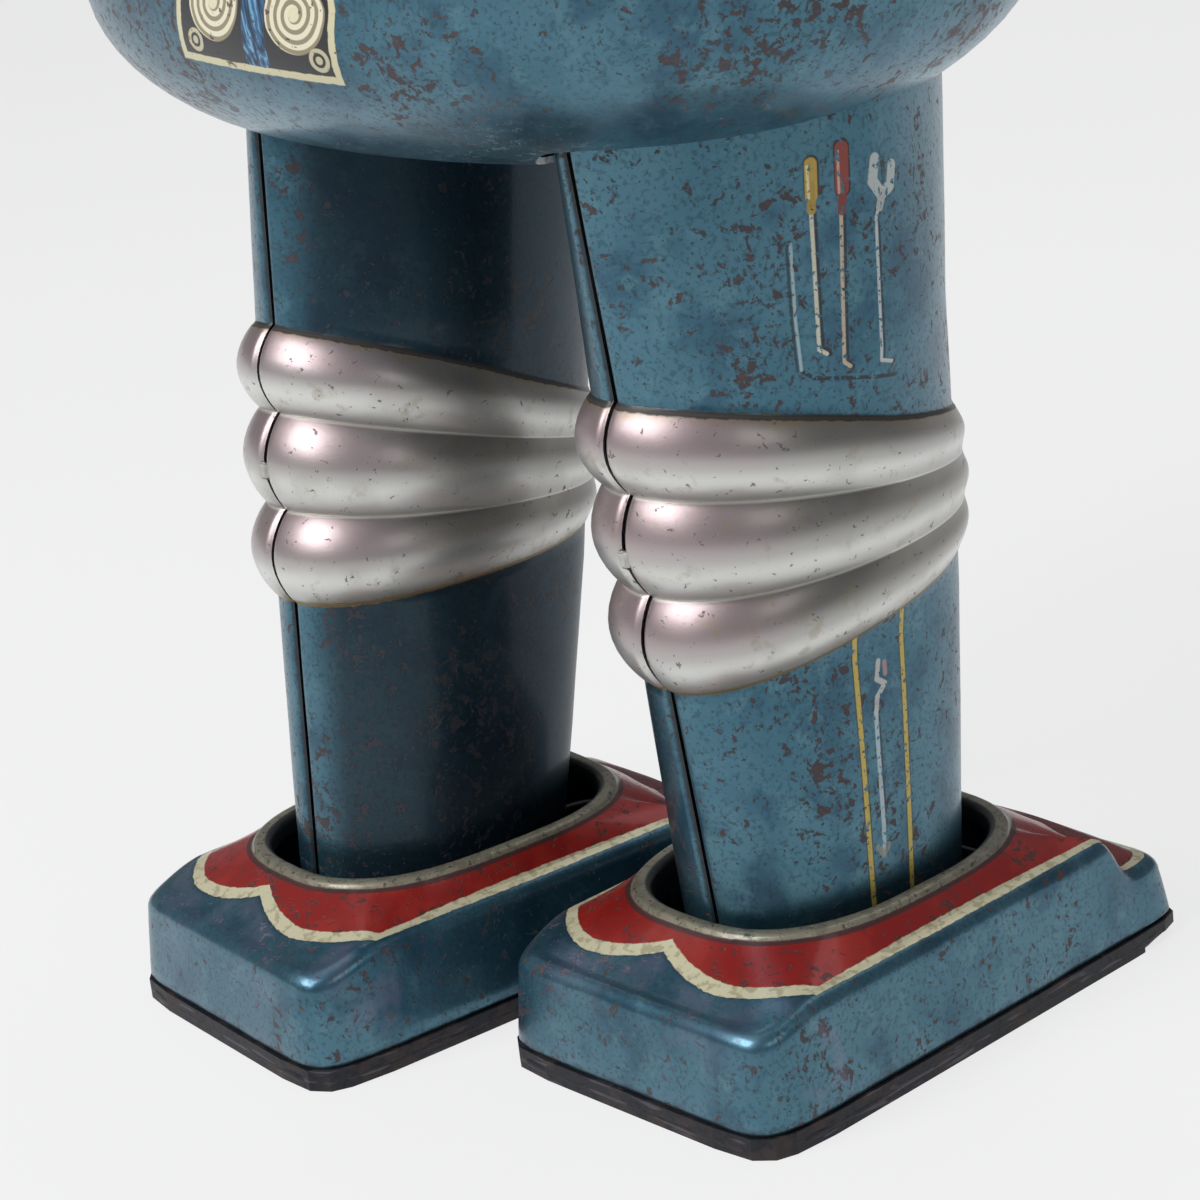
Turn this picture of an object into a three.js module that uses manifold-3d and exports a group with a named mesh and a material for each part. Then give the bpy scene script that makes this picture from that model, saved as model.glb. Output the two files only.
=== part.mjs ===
// Tin wind-up walking robot, built as the separate pieces it would come apart into on a bench.
// Millimetres, +Z up, the robot looks along -Y and its own left is +X.  The origin is on the
// ground under the middle of the toy.  It stands in mid stride: left foot back, right foot forward.
import * as THREE from 'three';
import { mergeVertices } from 'three/addons/utils/BufferGeometryUtils.js';
import Module from 'manifold-3d';

const wasm = await Module();
wasm.setup();

// ---- driving dimensions -------------------------------------------------------------------
const SHEET = 0.9; // drawn gauge of the tinplate shells
const GAP = 0.35; // clearance between neighbouring pieces
const DEGREE = Math.PI / 180;

// stance
const HIP_HEIGHT = 142.5;
const STANCE = 60.9; // between the two foot centres
const SWING = 5.07 * DEGREE; // each leg away from upright
const TOE_OUT = 2.97 * DEGREE;
const ANKLE_HEIGHT = 6.2;
const STRIDE = (HIP_HEIGHT - ANKLE_HEIGHT) * Math.tan(SWING);

// leg, in its own upright frame with the ground at z = 0
const LEG_OFFSET = 3.4; // leg line outside the foot centre
const LEG_FOOT = 17; // lower rim, inside the shoe
const LEG_TOP = 138.5; // upper rim, inside the body
const SEAM = 0.7; // open seam between the two stamped halves
const LEG_SECTIONS = [
  // height, front reach, rear reach, inner and outer half width, fullness of the oval
  { z: 33.5, front: 24.9, rear: 22.1, inner: 17.2, outer: 14.0, full: 2.3 },
  { z: 59.7, front: 25.3, rear: 26.8, inner: 16.6, outer: 15.0, full: 2.2 },
  { z: 101.7, front: 25.7, rear: 30.7, inner: 20.4, outer: 21.7, full: 1.8 },
  { z: 132, front: 26.0, rear: 38.0, inner: 19.3, outer: 22.2, full: 1.6 },
];
// pleat edges of the knee band: height at the front seam and rise to the rear seam
const PLEAT_EDGES = [
  { front: 60.6, rise: 5.6 },
  { front: 74.5, rise: -2.2 },
  { front: 89.1, rise: -10.9 },
  { front: 101.9, rise: -17.6 },
];
// rolls at the front seam, softer round the side
const PLEAT = { crest: 3.1, side: 0.7, lift: 1.0, step: 0.3 };
const STRAP_X = 19; // centre plane of the leg strap, from the middle of the toy

// shoe, in its own frame
const SHOE = { halfWidth: 27.4, front: -44, back: 46, toeFull: 11, heelFull: 16 };
const HEM = 3.2; // height of the rolled hem
const SHOULDER = 19.8; // side edge of the top
const TOE_EDGE = 17.6;
const HEEL_EDGE = 12.9;
const HEEL_DECK = 16;
const RING = { y: -2.05, length: 57.3, width: 43.5, full: 2.7, height: 24.2, band: 3 };
const ANKLE_SHIFT = (STANCE / 2 - STRAP_X) * Math.sin(TOE_OUT); // puts the pin in the strap's eye
const ROLLER = { radius: 5, width: 8, reach: 26, rearReach: 23, height: 5.2 };

// body bowl
const BODY = { width: 145.8, depth: 113.4, y: 2.9, bottom: 129.2, full: 2.25 };
const BOWL = { across: 42, up: 26.6 }; // elliptical rounding of the bottom
const WAIST = 176;
const SHOULDER_Z = 212;
const BODY_TOP = 226;
const NECK = 23;
const HEAD = { width: 62, depth: 54, bottom: 231, top: 281, full: 3.4 };
const EYE = { x: 13, rise: 33 };
const EAR_RISE = 30;
const MOUTH_RISE = 15;
// closed profiles of [radius, reach]
const LENS_PROFILE = [[0, -1.4], [5.9, -1.4], [5.9, 1.2], [8, 1.2], [7.4, 2.6], [4, 4], [0, 4.6]];
const EAR_PROFILE = [[0, 0], [2.6, 0], [2.6, 2.4], [9, 2.4], [8, 4.4], [3, 5.4], [3, 8], [0, 9]];
const COLLAR_PROFILE = [[NECK - 2, 0], [NECK + 1.5, 0], [NECK + 1.5, 2], [NECK - 0.2, 4], [NECK - 2, 4]];

// movement
const PLATE_X = 12; // inner face of each movement plate
const PLATE = 1.2;
const CRANK = { y: 0, z: HIP_HEIGHT + 30 };
const CRANK_THROW = (CRANK.z - HIP_HEIGHT) * Math.tan(SWING);
const ARBOR = { y: 18, z: 160 };
const GOVERNOR = { y: -12, z: 176 };
const GREAT = { teeth: 36, module: 0.95 };
const CRANK_PINION = { teeth: 9, module: 0.95 };
const CRANK_WHEEL = { teeth: 30, module: 0.6 };
const GOVERNOR_PINION = { teeth: 10, module: 0.6 };
const STOP_ROD = { y: -12, z: 166.2 };

// arm, in its own frame with the shoulder at the origin
const ARM_X = 85; // centre plane
const ARM_RADIUS = 12;
const ELBOW_DROP = 27;
const FOREARM = 36;
const ELBOW_BEND = 13;
const HAND_REACH = BODY.y + BODY.depth / 2; // hands reach as far forward as the back reaches back

// ---- colours ------------------------------------------------------------------------------
const TEAL = ['#44788b', 0.38, 0.55];
const SILVER = ['#c8c6c0', 0.35, 0.6];
const RED = ['#b3231d', 0.4, 0.35];
const DARK = ['#2b2b33', 0.55, 0.5];
const STEEL = ['#9a9c9e', 0.35, 0.9];
const BRASS = ['#b08d4a', 0.35, 0.9];
const BLACK = ['#15171a', 0.5, 0.2];
const AMBER = ['#c98a2c', 0.15, 0.1];

const robot = new THREE.Group();
robot.name = 'wind_up_robot';

// ---- helpers ------------------------------------------------------------------------------
const power = (value, exponent) => Math.sign(value) * Math.abs(value) ** exponent;
const mix = (a, b, part) => a + (b - a) * part;
const range = (count) => [...Array(count).keys()];

function smooth(low, high, value) {
  const part = Math.min(1, Math.max(0, (value - low) / (high - low)));
  return part * part * (3 - 2 * part);
}

/** Piecewise straight value of a key over rows sorted by z, carried on past both ends. */
function along(rows, key, z) {
  let low = rows.findLastIndex((row) => row.z <= z);
  low = Math.min(rows.length - 2, Math.max(0, low));
  const part = (z - rows[low].z) / (rows[low + 1].z - rows[low].z);
  return mix(rows[low][key], rows[low + 1][key], part);
}

function add(parent, name, geometry, [color, roughness, metalness]) {
  const material = new THREE.MeshStandardMaterial({ color, roughness, metalness });
  const mesh = new THREE.Mesh(geometry, material);
  mesh.name = name;
  parent.add(mesh);
  return mesh;
}

function fromTriangles(points, faces) {
  let geometry = new THREE.BufferGeometry();
  const numbers = points.flatMap((p) => [p.x, p.y, p.z]);
  geometry.setAttribute('position', new THREE.Float32BufferAttribute(numbers, 3));
  geometry.setIndex(faces.flat());
  geometry = mergeVertices(geometry, 1e-4);
  const index = geometry.index.array;
  const kept = [];
  for (let i = 0; i < index.length; i += 3) {
    const [a, b, c] = [index[i], index[i + 1], index[i + 2]];
    if (a !== b && b !== c && a !== c) kept.push(a, b, c);
  }
  geometry.setIndex(kept);
  if (signedVolume(geometry) < 0) geometry.setIndex(kept.toReversed());
  geometry.computeVertexNormals();
  return geometry;
}

function signedVolume(geometry) {
  const position = geometry.attributes.position;
  const corner = [0, 1, 2].map(() => new THREE.Vector3());
  let volume = 0;
  for (let i = 0; i < geometry.index.count; i += 3) {
    corner.forEach((v, k) => v.fromBufferAttribute(position, geometry.index.getX(i + k)));
    volume += corner[0].dot(corner[1].clone().cross(corner[2])) / 6;
  }
  return volume;
}

/** A closed body between two grids of points, given as rows of columns. */
function gridSolid(outer, inner, closed) {
  const rows = outer.length;
  const cols = outer[0].length;
  const id = (layer, row, col) => (layer * rows + row) * cols + (col % cols);
  const spans = closed ? cols : cols - 1;
  const faces = [];
  const quad = (a, b, c, d) => faces.push([a, b, c], [a, c, d]);
  for (let r = 0; r < rows - 1; r++) {
    for (let c = 0; c < spans; c++) {
      quad(id(0, r, c), id(0, r, c + 1), id(0, r + 1, c + 1), id(0, r + 1, c));
      quad(id(1, r, c), id(1, r + 1, c), id(1, r + 1, c + 1), id(1, r, c + 1));
    }
    if (!closed) {
      quad(id(0, r, 0), id(0, r + 1, 0), id(1, r + 1, 0), id(1, r, 0));
      quad(id(0, r, cols - 1), id(1, r, cols - 1), id(1, r + 1, cols - 1), id(0, r + 1, cols - 1));
    }
  }
  for (let c = 0; c < spans; c++) {
    quad(id(0, 0, c), id(1, 0, c), id(1, 0, c + 1), id(0, 0, c + 1));
    quad(id(0, rows - 1, c), id(0, rows - 1, c + 1), id(1, rows - 1, c + 1), id(1, rows - 1, c));
  }
  return fromTriangles([...outer.flat(), ...inner.flat()], faces);
}

/** The same grid moved a distance along its inward normals. */
function offsetGrid(grid, distance, closed) {
  const rows = grid.length;
  const cols = grid[0].length;
  const wrap = (c) => (closed ? (c + cols) % cols : Math.min(cols - 1, Math.max(0, c)));
  return grid.map((row, r) => row.map((point, c) => {
    const across = row[wrap(c + 1)].clone().sub(row[wrap(c - 1)]);
    const up = grid[Math.min(rows - 1, r + 1)][c].clone().sub(grid[Math.max(0, r - 1)][c]);
    return point.clone().addScaledVector(across.cross(up).normalize(), -distance);
  }));
}

/** Shared vertices and nothing but positions. */
function welded(geometry) {
  const bare = geometry.clone();
  bare.deleteAttribute('normal');
  bare.deleteAttribute('uv');
  return mergeVertices(bare, 1e-4);
}

/** The welded piece with its faces pointing out. */
function outward(geometry) {
  const bare = welded(geometry);
  if (signedVolume(bare) < 0) bare.setIndex([...bare.index.array].reverse());
  return bare;
}

/** The same piece for the other side of the toy. */
function mirrored(geometry) {
  const copy = welded(geometry).scale(-1, 1, 1);
  copy.setIndex([...copy.index.array].reverse());
  copy.computeVertexNormals();
  return copy;
}

function toSolid(geometry) {
  const bare = welded(geometry);
  return new wasm.Manifold(new wasm.Mesh({
    numProp: 3,
    vertProperties: new Float32Array(bare.attributes.position.array),
    triVerts: new Uint32Array(bare.index.array),
  }));
}

function fromSolid(solid) {
  const made = solid.getMesh();
  const geometry = new THREE.BufferGeometry();
  geometry.setAttribute('position', new THREE.BufferAttribute(made.vertProperties, 3));
  geometry.setIndex(new THREE.BufferAttribute(made.triVerts, 1));
  geometry.computeVertexNormals();
  return geometry;
}

function join(first, ...others) {
  return fromSolid(others.reduce((solid, other) => solid.add(toSolid(other)), toSolid(first)));
}

function cut(first, ...tools) {
  return fromSolid(tools.reduce((solid, tool) => solid.subtract(toSolid(tool)), toSolid(first)));
}

function common(first, second) {
  return fromSolid(toSolid(first).intersect(toSolid(second)));
}

function box(width, depth, height, x, y, z) {
  return new THREE.BoxGeometry(width, depth, height).translate(x, y, z);
}

/** A round bar along X from one x to another. */
function bar(radius, x0, x1, y, z, sides = 12) {
  const geometry = new THREE.CylinderGeometry(radius, radius, Math.abs(x1 - x0), sides);
  return geometry.rotateZ(Math.PI / 2).translate((x0 + x1) / 2, y, z);
}

/** A body of revolution about X from a closed profile of [radius, x] points. */
function turned(profile, y, z, sides = 12) {
  const points = [...profile, profile[0]].map(([radius, x]) => new THREE.Vector2(radius, x));
  return outward(new THREE.LatheGeometry(points, sides).rotateZ(-Math.PI / 2)).translate(0, y, z);
}

/** A flat piece in the YZ plane, from a shape drawn with its x along Y and its y along Z. */
function platework(shape, thickness, x) {
  const options = { depth: thickness, bevelEnabled: false, curveSegments: 5 };
  const geometry = new THREE.ExtrudeGeometry(shape, options);
  const turn = new THREE.Matrix4().makeBasis(
    new THREE.Vector3(0, 1, 0),
    new THREE.Vector3(0, 0, 1),
    new THREE.Vector3(1, 0, 0),
  );
  return geometry.applyMatrix4(turn).translate(x, 0, 0);
}

function circleHole(shape, x, y, radius) {
  const hole = new THREE.Path();
  hole.absarc(x, y, radius, 0, 2 * Math.PI, true);
  shape.holes.push(hole);
}

/** A slab with an outline in the XY plane. */
function slab(points, z0, z1) {
  const shape = new THREE.Shape(points.map(([x, y]) => new THREE.Vector2(x, y)));
  const geometry = new THREE.ExtrudeGeometry(shape, { depth: z1 - z0, bevelEnabled: false });
  return geometry.translate(0, 0, z0);
}

function ovalPoints(halfWidth, halfDepth, full, count, x = 0, y = 0) {
  return range(count).map((i) => {
    const angle = 2 * Math.PI * (i / count);
    return [
      x + halfWidth * power(Math.cos(angle), 2 / full),
      y + halfDepth * power(Math.sin(angle), 2 / full),
    ];
  });
}

/** A spur wheel with straight-sided teeth and a tooth along the given direction. */
function gear({ teeth, module }, bore, thickness, x, y, z, towards) {
  const radius = teeth * module / 2;
  const pitch = 2 * Math.PI / teeth;
  const shape = new THREE.Shape();
  for (let i = 0; i < teeth; i++) {
    const middle = towards + i * pitch;
    const corners = [
      [radius - module, -0.27],
      [radius + 0.7 * module, -0.12],
      [radius + 0.7 * module, 0.12],
      [radius - module, 0.27],
    ];
    corners.forEach(([r, part], k) => {
      const angle = middle + part * pitch;
      const point = [r * Math.cos(angle), r * Math.sin(angle)];
      if (i + k === 0) shape.moveTo(...point);
      else shape.lineTo(...point);
    });
  }
  circleHole(shape, 0, 0, bore);
  return platework(shape, thickness, x).translate(0, y, z);
}

// ---- legs ---------------------------------------------------------------------------------
/** How far the knee band stands out; fade runs 0 at the front seam to 1 at the back. */
function pleatBulge(part, pleat, fade) {
  const roll = Math.sin(Math.PI * part);
  const swell = mix(PLEAT.crest * roll ** 0.8, PLEAT.side * roll ** 2, fade);
  return PLEAT.step + swell + fade * PLEAT.lift * Math.max(0, Math.sin(Math.PI * pleat / 3)) ** 0.5;
}

/** A point of the leg's surface: turn runs 0 at the front seam to PI at the rear seam. */
function legPoint(turn, row, half) {
  const lean = (1 - Math.cos(turn)) / 2;
  let z = row.z;
  let bulge = 0;
  if (row.pleat !== undefined) {
    const low = Math.min(2, Math.floor(row.pleat));
    const [below, above] = [PLEAT_EDGES[low], PLEAT_EDGES[low + 1]];
    const part = row.pleat - low;
    z = mix(below.front + below.rise * lean, above.front + above.rise * lean, part);
    bulge = pleatBulge(part, row.pleat, smooth(0.05, 0.75, lean));
  }
  const front = along(LEG_SECTIONS, 'front', z) + bulge;
  const rear = along(LEG_SECTIONS, 'rear', z) + bulge;
  const side = along(LEG_SECTIONS, half > 0 ? 'outer' : 'inner', z) + bulge;
  const curve = 2 / Math.min(2.3, Math.max(1.6, along(LEG_SECTIONS, 'full', z)));
  const x = SEAM / 2 + (side - SEAM / 2) * Math.max(0, Math.sin(turn)) ** curve;
  const y = (rear - front) / 2 - (rear + front) / 2 * power(Math.cos(turn), curve);
  return new THREE.Vector3(half * x + LEG_OFFSET, y, z - HIP_HEIGHT);
}

const LEG_ROWS = [
  { z: LEG_FOOT }, { z: 33.5 }, { z: 48 },
  ...[0, 0.3, 0.7, 1, 1.3, 1.7, 2, 2.3, 2.7, 3].map((pleat) => ({ pleat })),
  { z: 112 }, { z: 125 }, { z: LEG_TOP },
];
const LEG_COLUMNS = 9;

function legHalf(half) {
  const grid = LEG_ROWS.map((row) => range(LEG_COLUMNS).map((i) => {
    return legPoint(Math.PI * i / (LEG_COLUMNS - 1), row, half);
  }));
  const inner = offsetGrid(grid, half * SHEET, false);
  for (const row of inner) { // the cut edges stay in the seam's plane
    row[0].x = LEG_OFFSET + half * SEAM / 2;
    row.at(-1).x = row[0].x;
  }
  return gridSolid(grid, inner, false);
}

/** Flat strap hung on the hip axle: ankle eye below, crank slot above. */
function legStrap() {
  const ankle = ANKLE_HEIGHT - HIP_HEIGHT;
  const reach = ankle / Math.cos(SWING);
  const crank = CRANK.z - HIP_HEIGHT;
  const outline = new THREE.Shape();
  outline.absarc(0, reach, 4.5, Math.PI, 2 * Math.PI);
  outline.lineTo(5, 0);
  outline.lineTo(5.5, crank);
  outline.absarc(0, crank + 5, 5.5, 0, Math.PI);
  outline.lineTo(-5, 0);
  circleHole(outline, 0, reach, 1.5 + GAP);
  circleHole(outline, 0, 0, 1.5 + GAP);
  const slot = new THREE.Path();
  const halfWidth = 1 + 0.21 * CRANK_THROW + GAP;
  const travel = CRANK_THROW + 0.8;
  slot.absarc(0, crank - travel, halfWidth, 0, Math.PI, true);
  slot.absarc(0, crank + travel, halfWidth, Math.PI, 0, true);
  outline.holes.push(slot);
  return platework(outline, 1.2, STRAP_X - STANCE / 2 - 0.6);
}

const legParts = { outer: legHalf(1), inner: legHalf(-1), strap: legStrap() };

for (const [name, side] of [['left', 1], ['right', -1]]) {
  const leg = new THREE.Group();
  leg.position.set(side * STANCE / 2, 0, HIP_HEIGHT);
  leg.rotation.x = side * SWING;
  robot.add(leg);
  const shape = (part) => (side > 0 ? legParts[part] : mirrored(legParts[part]));
  add(leg, `${name}_leg_outer_half`, shape('outer'), TEAL);
  add(leg, `${name}_leg_inner_half`, shape('inner'), TEAL);
  add(leg, `${name}_leg_strap`, shape('strap'), STEEL);
}

// ---- shoes --------------------------------------------------------------------------------
/** Height of the shoe's top edge along its length, falling at the toe and stepping at the heel. */
function shoeEdge(y) {
  const toe = mix(TOE_EDGE, SHOULDER, smooth(-41, -30, y));
  return mix(toe, HEEL_EDGE, smooth(30, 36, y));
}

/** The point of a superellipse in a polar direction. */
function polarOval(angle, halfWidth, halfDepth, full) {
  const [across, ahead] = [Math.cos(angle), Math.sin(angle)];
  const sum = Math.abs(across / halfWidth) ** full + Math.abs(ahead / halfDepth) ** full;
  const radius = sum ** (-1 / full);
  return [radius * across, radius * ahead];
}

/** The shoe's plan: a rectangle with small corners, tighter at the heel. */
function shoeOutline(angle, inset) {
  const halfLength = (SHOE.back - SHOE.front) / 2 - inset;
  const full = Math.sin(angle) > 0 ? SHOE.heelFull : SHOE.toeFull;
  const [x, y] = polarOval(angle, SHOE.halfWidth - inset, halfLength, full);
  return [x, y + (SHOE.back + SHOE.front) / 2];
}

function shoePoint(angle, inset, height) {
  const [x, y] = shoeOutline(angle, inset);
  return new THREE.Vector3(x, y, height(y));
}

function ringPoint(angle, inset, z) {
  const [x, y] = polarOval(angle, RING.width / 2 - inset, RING.length / 2 - inset, RING.full);
  return new THREE.Vector3(x, y + RING.y, z);
}

/** A point of the top between the edge and the ring; the heel deck lies lower. */
function deckPoint(angle, part) {
  const rim = ringPoint(angle, 0, RING.height - 0.8);
  const point = shoePoint(angle, 3.4, shoeEdge).lerp(rim, part);
  const deck = HEEL_DECK - 2.6 * (point.x / 25) ** 2;
  point.z = mix(point.z, deck, smooth(30.5, 35, point.y) * smooth(0, 0.25, part));
  return point;
}

const SHOE_ROWS = [
  (angle) => shoePoint(angle, 0, () => HEM + 0.3),
  (angle) => shoePoint(angle, 0.5, (y) => 0.5 * shoeEdge(y)),
  (angle) => shoePoint(angle, 1.2, (y) => shoeEdge(y) - 2.6),
  (angle) => shoePoint(angle, 2, (y) => shoeEdge(y) - 0.8),
  (angle) => deckPoint(angle, 0),
  (angle) => deckPoint(angle, 0.3),
  (angle) => deckPoint(angle, 0.65),
  (angle) => deckPoint(angle, 1),
  (angle) => ringPoint(angle, 1.5, RING.height),
  (angle) => ringPoint(angle, RING.band, RING.height - 1),
  (angle) => ringPoint(angle, RING.band, RING.height - 3),
];

/** Directions of the shoe's columns, gathered at its four corners. */
function shoeAngles() {
  const corner = Math.atan2(SHOE.back - SHOE.front, 2 * SHOE.halfWidth);
  const before = [0.2, 0.5, 0.85, 0.95].map((part) => part * corner);
  const after = [0.12, 0.35, 0.75].map((part) => mix(corner, Math.PI / 2, part));
  const quarter = [...before, corner, ...after];
  const half = [...quarter, ...quarter.map((angle) => Math.PI - angle).reverse()];
  return [...half, ...half.map((angle) => angle + Math.PI)];
}

function shoeShell() {
  const grid = SHOE_ROWS.map((row) => shoeAngles().map(row));
  return gridSolid(grid, offsetGrid(grid, SHEET, true), true);
}

/** Sole: floor plate with a rolled hem round it, raised under the heel, with axle lugs. */
function sole() {
  const outline = (inset) => shoeAngles().map((angle) => shoeOutline(angle, inset - 0.3));
  const wall = HEM - 0.2;
  let plate = cut(
    slab(outline(0), 0, HEM),
    slab(outline(wall), -1, HEM - 1.2),
    box(2 * SHOE.halfWidth + 8, 30, 2.2, 0, 36 + 15, 0.3),
    box(2.6, 12, 10, STRAP_X - STANCE / 2, ANKLE_SHIFT, 0), // room for the strap's eye
  );
  const lugs = [];
  for (const y of [-ROLLER.reach, ROLLER.rearReach]) {
    plate = cut(plate, box(ROLLER.width + 3, 2 * ROLLER.radius + 2, 10, 0, y, 0));
    for (const side of [1, -1]) {
      const x = side * (ROLLER.width / 2 + 2.6);
      const bore = bar(1 + GAP, x - 3, x + 3, y, ROLLER.height, 8);
      lugs.push(cut(box(1.4, 6, 6.4, x, y, HEM + 1.5), bore));
    }
  }
  for (const x of [-16.5, -6.5]) {
    const bore = bar(1.5 + GAP, x - 3, x + 3, ANKLE_SHIFT, ANKLE_HEIGHT, 12);
    lugs.push(cut(box(1.4, 9, 8, x, ANKLE_SHIFT, HEM + 2.6), bore));
  }
  return join(plate, ...lugs);
}

function roller() {
  const { radius, width } = ROLLER;
  const tread = bar(radius, -width / 2, width / 2, 0, 0, 14);
  return join(tread, bar(1, -width / 2 - 4.2, width / 2 + 4.2, 0, 0, 8));
}

const shoeParts = { shell: shoeShell(), sole: sole(), roller: roller() };

for (const [name, side] of [['left', 1], ['right', -1]]) {
  const shoe = new THREE.Group();
  shoe.position.set(side * STANCE / 2, side * STRIDE, 0);
  shoe.rotation.z = side * TOE_OUT;
  robot.add(shoe);
  const shape = (part) => (side > 0 ? shoeParts[part] : mirrored(shoeParts[part]));
  add(shoe, `${name}_shoe_shell`, shape('shell'), TEAL);
  add(shoe, `${name}_sole`, shape('sole'), DARK);
  const front = add(shoe, `${name}_front_roller`, shape('roller'), BLACK);
  front.position.set(0, -ROLLER.reach, ROLLER.height);
  const rear = add(shoe, `${name}_rear_roller`, shape('roller'), BLACK);
  rear.position.set(0, ROLLER.rearReach, ROLLER.height);
  const pin = bar(1.5, -18.5, -4.5, ANKLE_SHIFT, ANKLE_HEIGHT);
  add(shoe, `${name}_ankle_pin`, side > 0 ? pin : mirrored(pin), STEEL);
}

// ---- body shells --------------------------------------------------------------------------
/** A point of the body at a height, with its plan drawn in by a distance. */
function bodyPoint(turn, inset, z) {
  const x = (BODY.width / 2 - inset) * power(Math.cos(turn), 2 / BODY.full);
  const y = BODY.y + (BODY.depth / 2 - inset) * power(Math.sin(turn), 2 / BODY.full);
  return new THREE.Vector3(x, y, z);
}

/** The rounded bottom: part runs 0 at the flat floor to 1 at the widest girth. */
function bowlPoint(turn, part, gauge) {
  const angle = part * Math.PI / 2;
  const inset = gauge + (BOWL.across - gauge) * (1 - Math.sin(angle));
  const z = BODY.bottom + gauge + (BOWL.up - gauge) * (1 - Math.cos(angle));
  return bodyPoint(turn, inset, z);
}

function floorPoint(turn, part, gauge) {
  const rim = bowlPoint(turn, 0, gauge);
  return new THREE.Vector3(rim.x * part, BODY.y + (rim.y - BODY.y) * part, rim.z);
}

const BODY_COLUMNS = 28;
const turns = range(BODY_COLUMNS).map((i) => 2 * Math.PI * i / BODY_COLUMNS);

function lowerBody() {
  const skin = (gauge) => [
    ...[0, 0.5].map((part) => turns.map((turn) => floorPoint(turn, part, gauge))),
    ...[0, 1 / 4, 1 / 2, 3 / 4, 1].map((part) => turns.map((turn) => bowlPoint(turn, part, gauge))),
    turns.map((turn) => bodyPoint(turn, gauge, WAIST - GAP)),
  ];
  const openings = [1, -1].map((side) => {
    const x = side * (STANCE / 2 + LEG_OFFSET + 1.5);
    const top = LEG_SECTIONS[3];
    const halfWidth = (top.inner + top.outer) / 2 + 2;
    const halfDepth = (top.front + top.rear) / 2 + 3.2;
    const outline = ovalPoints(halfWidth, halfDepth, 1.8, 24, x, (top.rear - top.front) / 2);
    return slab(outline, 100, 146);
  });
  return cut(gridSolid(skin(0), skin(SHEET), true), ...openings);
}

function upperBody() {
  const skin = (gauge) => {
    const level = (inset, z) => turns.map((turn) => bodyPoint(turn, inset + gauge, z));
    const neck = (z) => turns.map((turn) => {
      return new THREE.Vector3(NECK * Math.cos(turn), NECK * Math.sin(turn), z);
    });
    return [
      level(0, WAIST),
      level(0, WAIST + 6),
      level(2.2, SHOULDER_Z - 6),
      level(4.5, SHOULDER_Z + 4 - gauge * 0.3),
      level(10, BODY_TOP - 5 - gauge * 0.7),
      level(20, BODY_TOP - 1 - gauge),
      neck(BODY_TOP - gauge),
    ];
  };
  const holes = [
    bar(3 + GAP, -BODY.width, BODY.width, 0, SHOULDER_Z),
  ];
  return cut(gridSolid(skin(0), skin(SHEET), true), ...holes);
}

/** A hoop round the body, from its plan. */
function hoop(inset, thickness, z0, z1) {
  const skin = (extra) => [z0, z1].map((z) => {
    return turns.map((turn) => bodyPoint(turn, inset + extra, z));
  });
  return gridSolid(skin(0), skin(thickness), true);
}

const keyHole = bar(4, -BODY.width, -BODY.width / 4, ARBOR.y, ARBOR.z);
const stopHole = bar(2, -BODY.width, -BODY.width / 4, STOP_ROD.y, STOP_ROD.z, 10);
add(robot, 'lower_body_shell', cut(lowerBody(), keyHole, stopHole), TEAL);
add(robot, 'upper_body_shell', upperBody(), TEAL);
add(robot, 'waist_hoop', hoop(SHEET + 0.25, 0.9, WAIST - 5, WAIST + 5), STEEL);

// ---- head ---------------------------------------------------------------------------------
function headShell() {
  const { width, depth, bottom, top, full } = HEAD;
  const columns = range(24).map((i) => 2 * Math.PI * i / 24);
  // how far each row is drawn in, and its height
  const rows = [[0, bottom], [0, top - 13], [1.4, top - 7], [5, top - 2.5], [12, top], [26, top + 0.6]];
  const skin = (gauge) => rows.map(([inset, z], row) => {
    const side = inset + gauge * (row < 4);
    const front = inset * 0.9 + gauge * (row < 4);
    return columns.map((turn) => new THREE.Vector3(
      (width / 2 - side) * power(Math.cos(turn), 2 / full),
      (depth / 2 - front) * power(Math.sin(turn), 2 / full),
      z - gauge * (row > 1),
    ));
  });
  const face = -depth / 2;
  const bore = (radius, x, z) => {
    return new THREE.CylinderGeometry(radius, radius, 20, 16).translate(x, face, z);
  };
  return cut(
    gridSolid(skin(0), skin(SHEET), true),
    bore(6.5, -EYE.x, bottom + EYE.rise),
    bore(6.5, EYE.x, bottom + EYE.rise),
    box(26, 20, 7, 0, face, bottom + MOUTH_RISE),
    bar(3, -width, width, 0, bottom + EAR_RISE),
  );
}

/** A turned piece whose axis runs forward, from [radius, reach] points. */
function facing(profile, x, y, z, sides = 14) {
  const points = [...profile, profile[0]].map(([radius, reach]) => new THREE.Vector2(radius, reach));
  return outward(new THREE.LatheGeometry(points, sides).rotateX(Math.PI)).translate(x, y, z);
}

add(robot, 'head_shell', headShell(), TEAL);
for (const [name, side] of [['left', 1], ['right', -1]]) {
  const lens = add(robot, `${name}_eye_lens`, facing(LENS_PROFILE, 0, 0, 0), AMBER);
  lens.position.set(side * EYE.x, -HEAD.depth / 2, HEAD.bottom + EYE.rise);
  const ear = turned(EAR_PROFILE, 0, 0);
  const disc = add(robot, `${name}_ear_disc`, side > 0 ? ear : mirrored(ear), RED);
  disc.position.set(side * (HEAD.width / 2 - 1.8), 0, HEAD.bottom + EAR_RISE);
}
const mouthZ = HEAD.bottom + MOUTH_RISE;
const slats = range(5).map((i) => box(1.8, 3, 5.2, (i - 2) * 4.6, -HEAD.depth / 2 + 0.8, mouthZ));
const grille = join(box(25, 1.2, 6.2, 0, -HEAD.depth / 2 + 1.6, mouthZ), ...slats);
add(robot, 'mouth_grille', grille, SILVER);
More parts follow.
